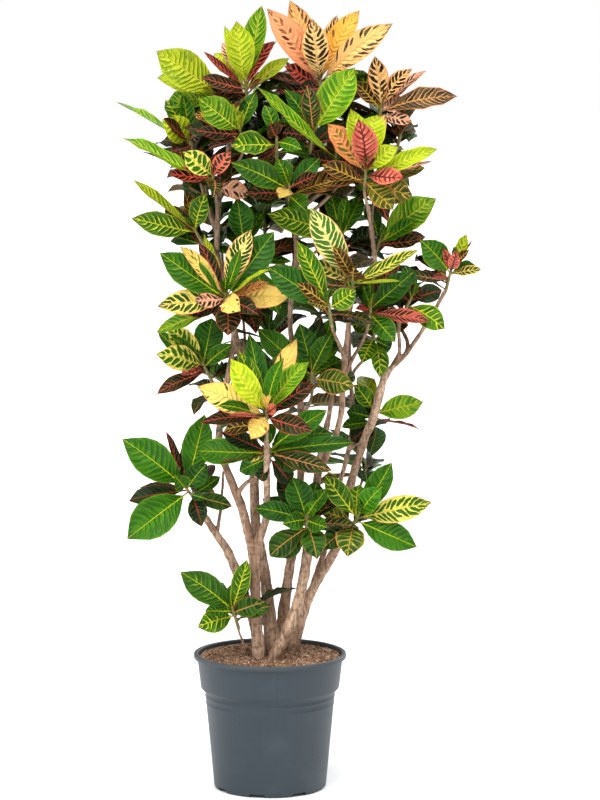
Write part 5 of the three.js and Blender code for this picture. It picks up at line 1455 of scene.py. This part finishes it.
def potMaterial():
    # slate plastic with drag marks round it, clouds, and a painted highlight along the top of the lip
    material, tree, shader = newMaterial("slatePlastic", 0.42, 0.3)
    place = outOf(tree, "ShaderNodeTexCoord", out=3)
    x, y, z = place.parts()
    bearing = y.math("ARCTAN2", x)
    drag = noise(tree, joinVector(tree, bearing * 60, z * 2.2, 0.0), 1.0, 5.0, 0.65)
    cloud = noise(tree, place, 14, 4)
    grain = noise(tree, place, 900)
    colour = layered(tree, potColours, "slate", {
        "drag": drag.step(0.3, 0.7),
        "cloud": cloud.step(0.5, 0.75) * 0.2,
        # painted highlight: the lip's top paler, in patches with the clouds
        "lipSheen": z.step(0.268, 0.277) * 0.3 * cloud,
    })
    plug(tree, shader.inputs["Base Color"], colour)
    plug(tree, shader.inputs["Roughness"], 0.36 + drag * 0.16 + cloud * 0.06)
    bump(tree, shader, drag * 0.35 + grain * 0.35, 0.2, 0.0006)
    return material


drains = {"count": 8, "width": 30, "height": 7, "first": 32, "depth": 22}


def drainTree(material):
    # slots cut through the base's edge, all round
    tree, wires, leave = newTree("drainSlots", {
        "Count": ("Int", drains["count"]),
        "Width": drains["width"] * mm,
        "Height": drains["height"] * mm,
        "Depth": drains["depth"] * mm,
        "Radius": potForm["baseRadius"] * mm,
        "First angle": math.radians(drains["first"] - 90),
    })
    circle = outOf(tree, "GeometryNodeCurvePrimitiveCircle", Resolution=wires["Count"],
                   Radius=wires["Radius"])
    spin = joinVector(tree, 0.0, 0.0, wires["First angle"])
    circle = outOf(tree, "GeometryNodeTransform", Geometry=circle, Rotation=spin)
    size = joinVector(tree, wires["Depth"], wires["Width"], wires["Height"] * 2)
    block = outOf(tree, "GeometryNodeMeshCube", Size=size)
    index = outOf(tree, "GeometryNodeInputIndex")
    turn = joinVector(tree, 0.0, 0.0, index * math.tau / wires["Count"] + wires["First angle"])
    blocks = outOf(tree, "GeometryNodeInstanceOnPoints", Points=circle, Instance=block, Rotation=turn)
    blocks = outOf(tree, "GeometryNodeRealizeInstances", Geometry=blocks)
    cut = addNode(tree, "GeometryNodeMeshBoolean", {"operation": "DIFFERENCE", "solver": "EXACT"})
    plug(tree, cut.inputs[0], wires["Geometry"])
    plug(tree, cut.inputs[1], blocks)
    plug(tree, leave.inputs[0], dressed(tree, Wire(tree, cut.outputs[0]), material, smooth=True))
    return tree


def mouldPot():
    mesh = shapeWith(turned("potShell", potOutline(), potForm["turns"]), drainTree(potMaterial()))
    mesh.set_sharp_from_angle(angle=math.radians(potForm["sharp"]))
    addPiece("potShell", mesh, "pot", "pot")
    print("pot moulded")


soilForm = {
    "edge": 269, "mound": 5, "radius": 144.2, "sides": ((128.6, 198), (136.5, 209)), "rings": 60,
    "turns": 160, "rough": 0.0034, "crumbs": 14000, "crumbReach": 0.143, "crumbShare": 6,
    "crumbSize": (0.0014, 0.0048), "crumbFlat": (0.5, 0.4, 0.25), "crumbBroad": (1.3, 1.0, 0.7),
    "levelFrom": 0.6, "seed": 4,
}
soilColours = {
    "peat": (86, 62, 46), "dry": (150, 114, 86), "bark": (190, 154, 124), "chip": (216, 200, 184),
    "hollowShade": (46, 34, 28),
}


def soilMaterial():
    material, tree, shader = newMaterial("peatSoil", 0.95, 0.15)
    place = outOf(tree, "ShaderNodeTexCoord", out=3)
    lumps = noise(tree, place, 90, 6, 0.7)
    tint = outOf(tree, "ShaderNodeTexVoronoi", Vector=place, Scale=260, out=1).parts()[0]
    colour = layered(tree, soilColours, "peat", {
        "dry": lumps.step(0.35, 0.65),
        "bark": tint.step(0.5, 0.9) * 0.6,
        "chip": tint.step(0.93, 0.97) * 0.7,
        # painted shade: random cells darkened, standing for the hollows between crumbs
        "hollowShade": (1 - tint.step(0.0, 0.28)) * 0.7,
    })
    plug(tree, shader.inputs["Base Color"], colour)
    bump(tree, shader, lumps + tint * 0.5, 0.6, 0.002)
    return material


def soilTree(material):
    # a rough surface with crumbs and bark chips scattered over its top
    topArea = math.pi * soilForm["crumbReach"] ** 2
    tree, wires, leave = newTree("crumbledSoil", {
        "Roughness": soilForm["rough"],
        "Crumbs per square metre": soilForm["crumbs"] / topArea / soilForm["crumbShare"],
        "Smallest": soilForm["crumbSize"][0],
        "Largest": soilForm["crumbSize"][1],
        "Seed": ("Int", soilForm["seed"]),
    })
    place = outOf(tree, "GeometryNodeInputPosition")
    x, y, z = place.parts()
    lumps = noise(tree, place, 46, 4, 0.6) - 0.5
    fromRim = 1 - (x * x + y * y).math("SQRT").step(0.132, 0.142)
    rise = lumps * 2 * wires["Roughness"] * z.step(0.262, 0.268) * (0.35 + fromRim * 0.65)
    ground = outOf(tree, "GeometryNodeSetPosition", Geometry=wires["Geometry"],
                   Offset=joinVector(tree, 0.0, 0.0, rise))
    ground = outOf(tree, "GeometryNodeSetShadeSmooth", Geometry=ground)
    level = outOf(tree, "GeometryNodeInputNormal").parts()[2].math("GREATER_THAN", soilForm["levelFrom"])
    dots = outOf(tree, "GeometryNodeDistributePointsOnFaces", Mesh=ground, Selection=level,
                 Density=wires["Crumbs per square metre"], Seed=wires["Seed"])
    crumb = outOf(tree, "GeometryNodeMeshIcoSphere", Radius=1.0, Subdivisions=1)
    turn = outOf(tree, "FunctionNodeRandomValue", {"data_type": "FLOAT_VECTOR"}, Max=(6.28, 6.28, 6.28))
    share = outOf(tree, "FunctionNodeRandomValue", {"data_type": "FLOAT"}, out=1) ** 3
    scale = wires["Smallest"] + (wires["Largest"] - wires["Smallest"]) * share
    flat = outOf(tree, "FunctionNodeRandomValue", {"data_type": "FLOAT_VECTOR"}, Min=soilForm["crumbFlat"],
                 Max=soilForm["crumbBroad"])
    crumbs = outOf(tree, "GeometryNodeInstanceOnPoints", Points=dots, Instance=crumb, Rotation=turn,
                   Scale=flat.times(scale))
    crumbs = outOf(tree, "GeometryNodeRealizeInstances", Geometry=crumbs)
    plug(tree, leave.inputs[0], dressed(tree, joined(tree, crumbs, ground), material))
    return tree


def fillSoil():
    form = soilForm
    base = potForm["floor"] + 1
    path = [(0, base), (potForm["baseRadius"] - 8, base), *form["sides"]]
    path.append((form["radius"] - 0.6, form["edge"] - 2))
    for k in range(form["rings"]):
        share = 1 - k / form["rings"]
        path.append((form["radius"] * share, form["edge"] + form["mound"] * (1 - share * share)))
    path.append((0, form["edge"] + form["mound"]))
    heap = turned("soilHeap", path, form["turns"])
    addPiece("soilHeap", shapeWith(heap, soilTree(soilMaterial())), "soil", "soil")
    print("soil filled")


# the studio: a white floor that runs into a white wall, with broad lights that fall evenly on both
studio = {
    "floorSize": 60.0, "floorColour": (0.9, 0.9, 0.9), "low": (1.0, 1.0, 1.0), "high": (0.16, 0.165, 0.175),
    "whiteUpTo": 0.01, "darkFrom": 0.1,
}
lamps = {  # where each light comes from, its strength and its spread in degrees
    "key": ((-0.5, -0.8, 0.8), 2.0, 60),
    "spark": ((-0.3, -0.5, 1.0), 1.0, 25),
    "fill": ((0.5, -0.8, 0.9), 0.9, 60),
    "above": ((0.1, 0.0, 1.0), 2.1, 50),
    "back": ((0.5, 0.8, 0.7), 1.7, 60),
}


def addFloor():
    half = studio["floorSize"] / 2
    corners = [(-half, -half, 0), (half, -half, 0), (half, half, 0), (-half, half, 0)]
    mesh = bpy.data.meshes.new("studioFloor")
    mesh.from_pydata(corners, [], [(0, 1, 2, 3)])
    floor = newObject("studioFloor", mesh)
    material, _, shader = newMaterial("paleFloor", 0.95, 0.0)
    shader.inputs["Base Color"].default_value = (*studio["floorColour"], 1)
    mesh.materials.append(material)


def addLamps():
    for name, (place, strength, spreadAngle) in lamps.items():
        data = bpy.data.lights.new(name, "SUN")
        data.energy = strength
        data.angle = math.radians(spreadAngle)
        lamp = newObject(name, data)
        lamp.location = place
        lamp.rotation_euler = Vector(place).to_track_quat("Z", "Y").to_euler()


def addSky():
    # white at and below the horizon, greyer above, as in a room with white walls
    world = bpy.data.worlds.new("studioSky")
    world.use_nodes = True
    tree = world.node_tree
    rise = outOf(tree, "ShaderNodeTexCoord").parts()[2]
    share = rise.step(studio["whiteUpTo"], studio["darkFrom"])
    colour = mixColours(tree, share, studio["low"], studio["high"])
    plug(tree, tree.nodes["Background"].inputs["Color"], colour)
    bpy.context.scene.world = world
    bpy.context.scene.view_settings.view_transform = "Standard"


mouldPot()
fillSoil()
growWood()
growLeaves()
addFloor()
addLamps()
addSky()
print("studio lit")
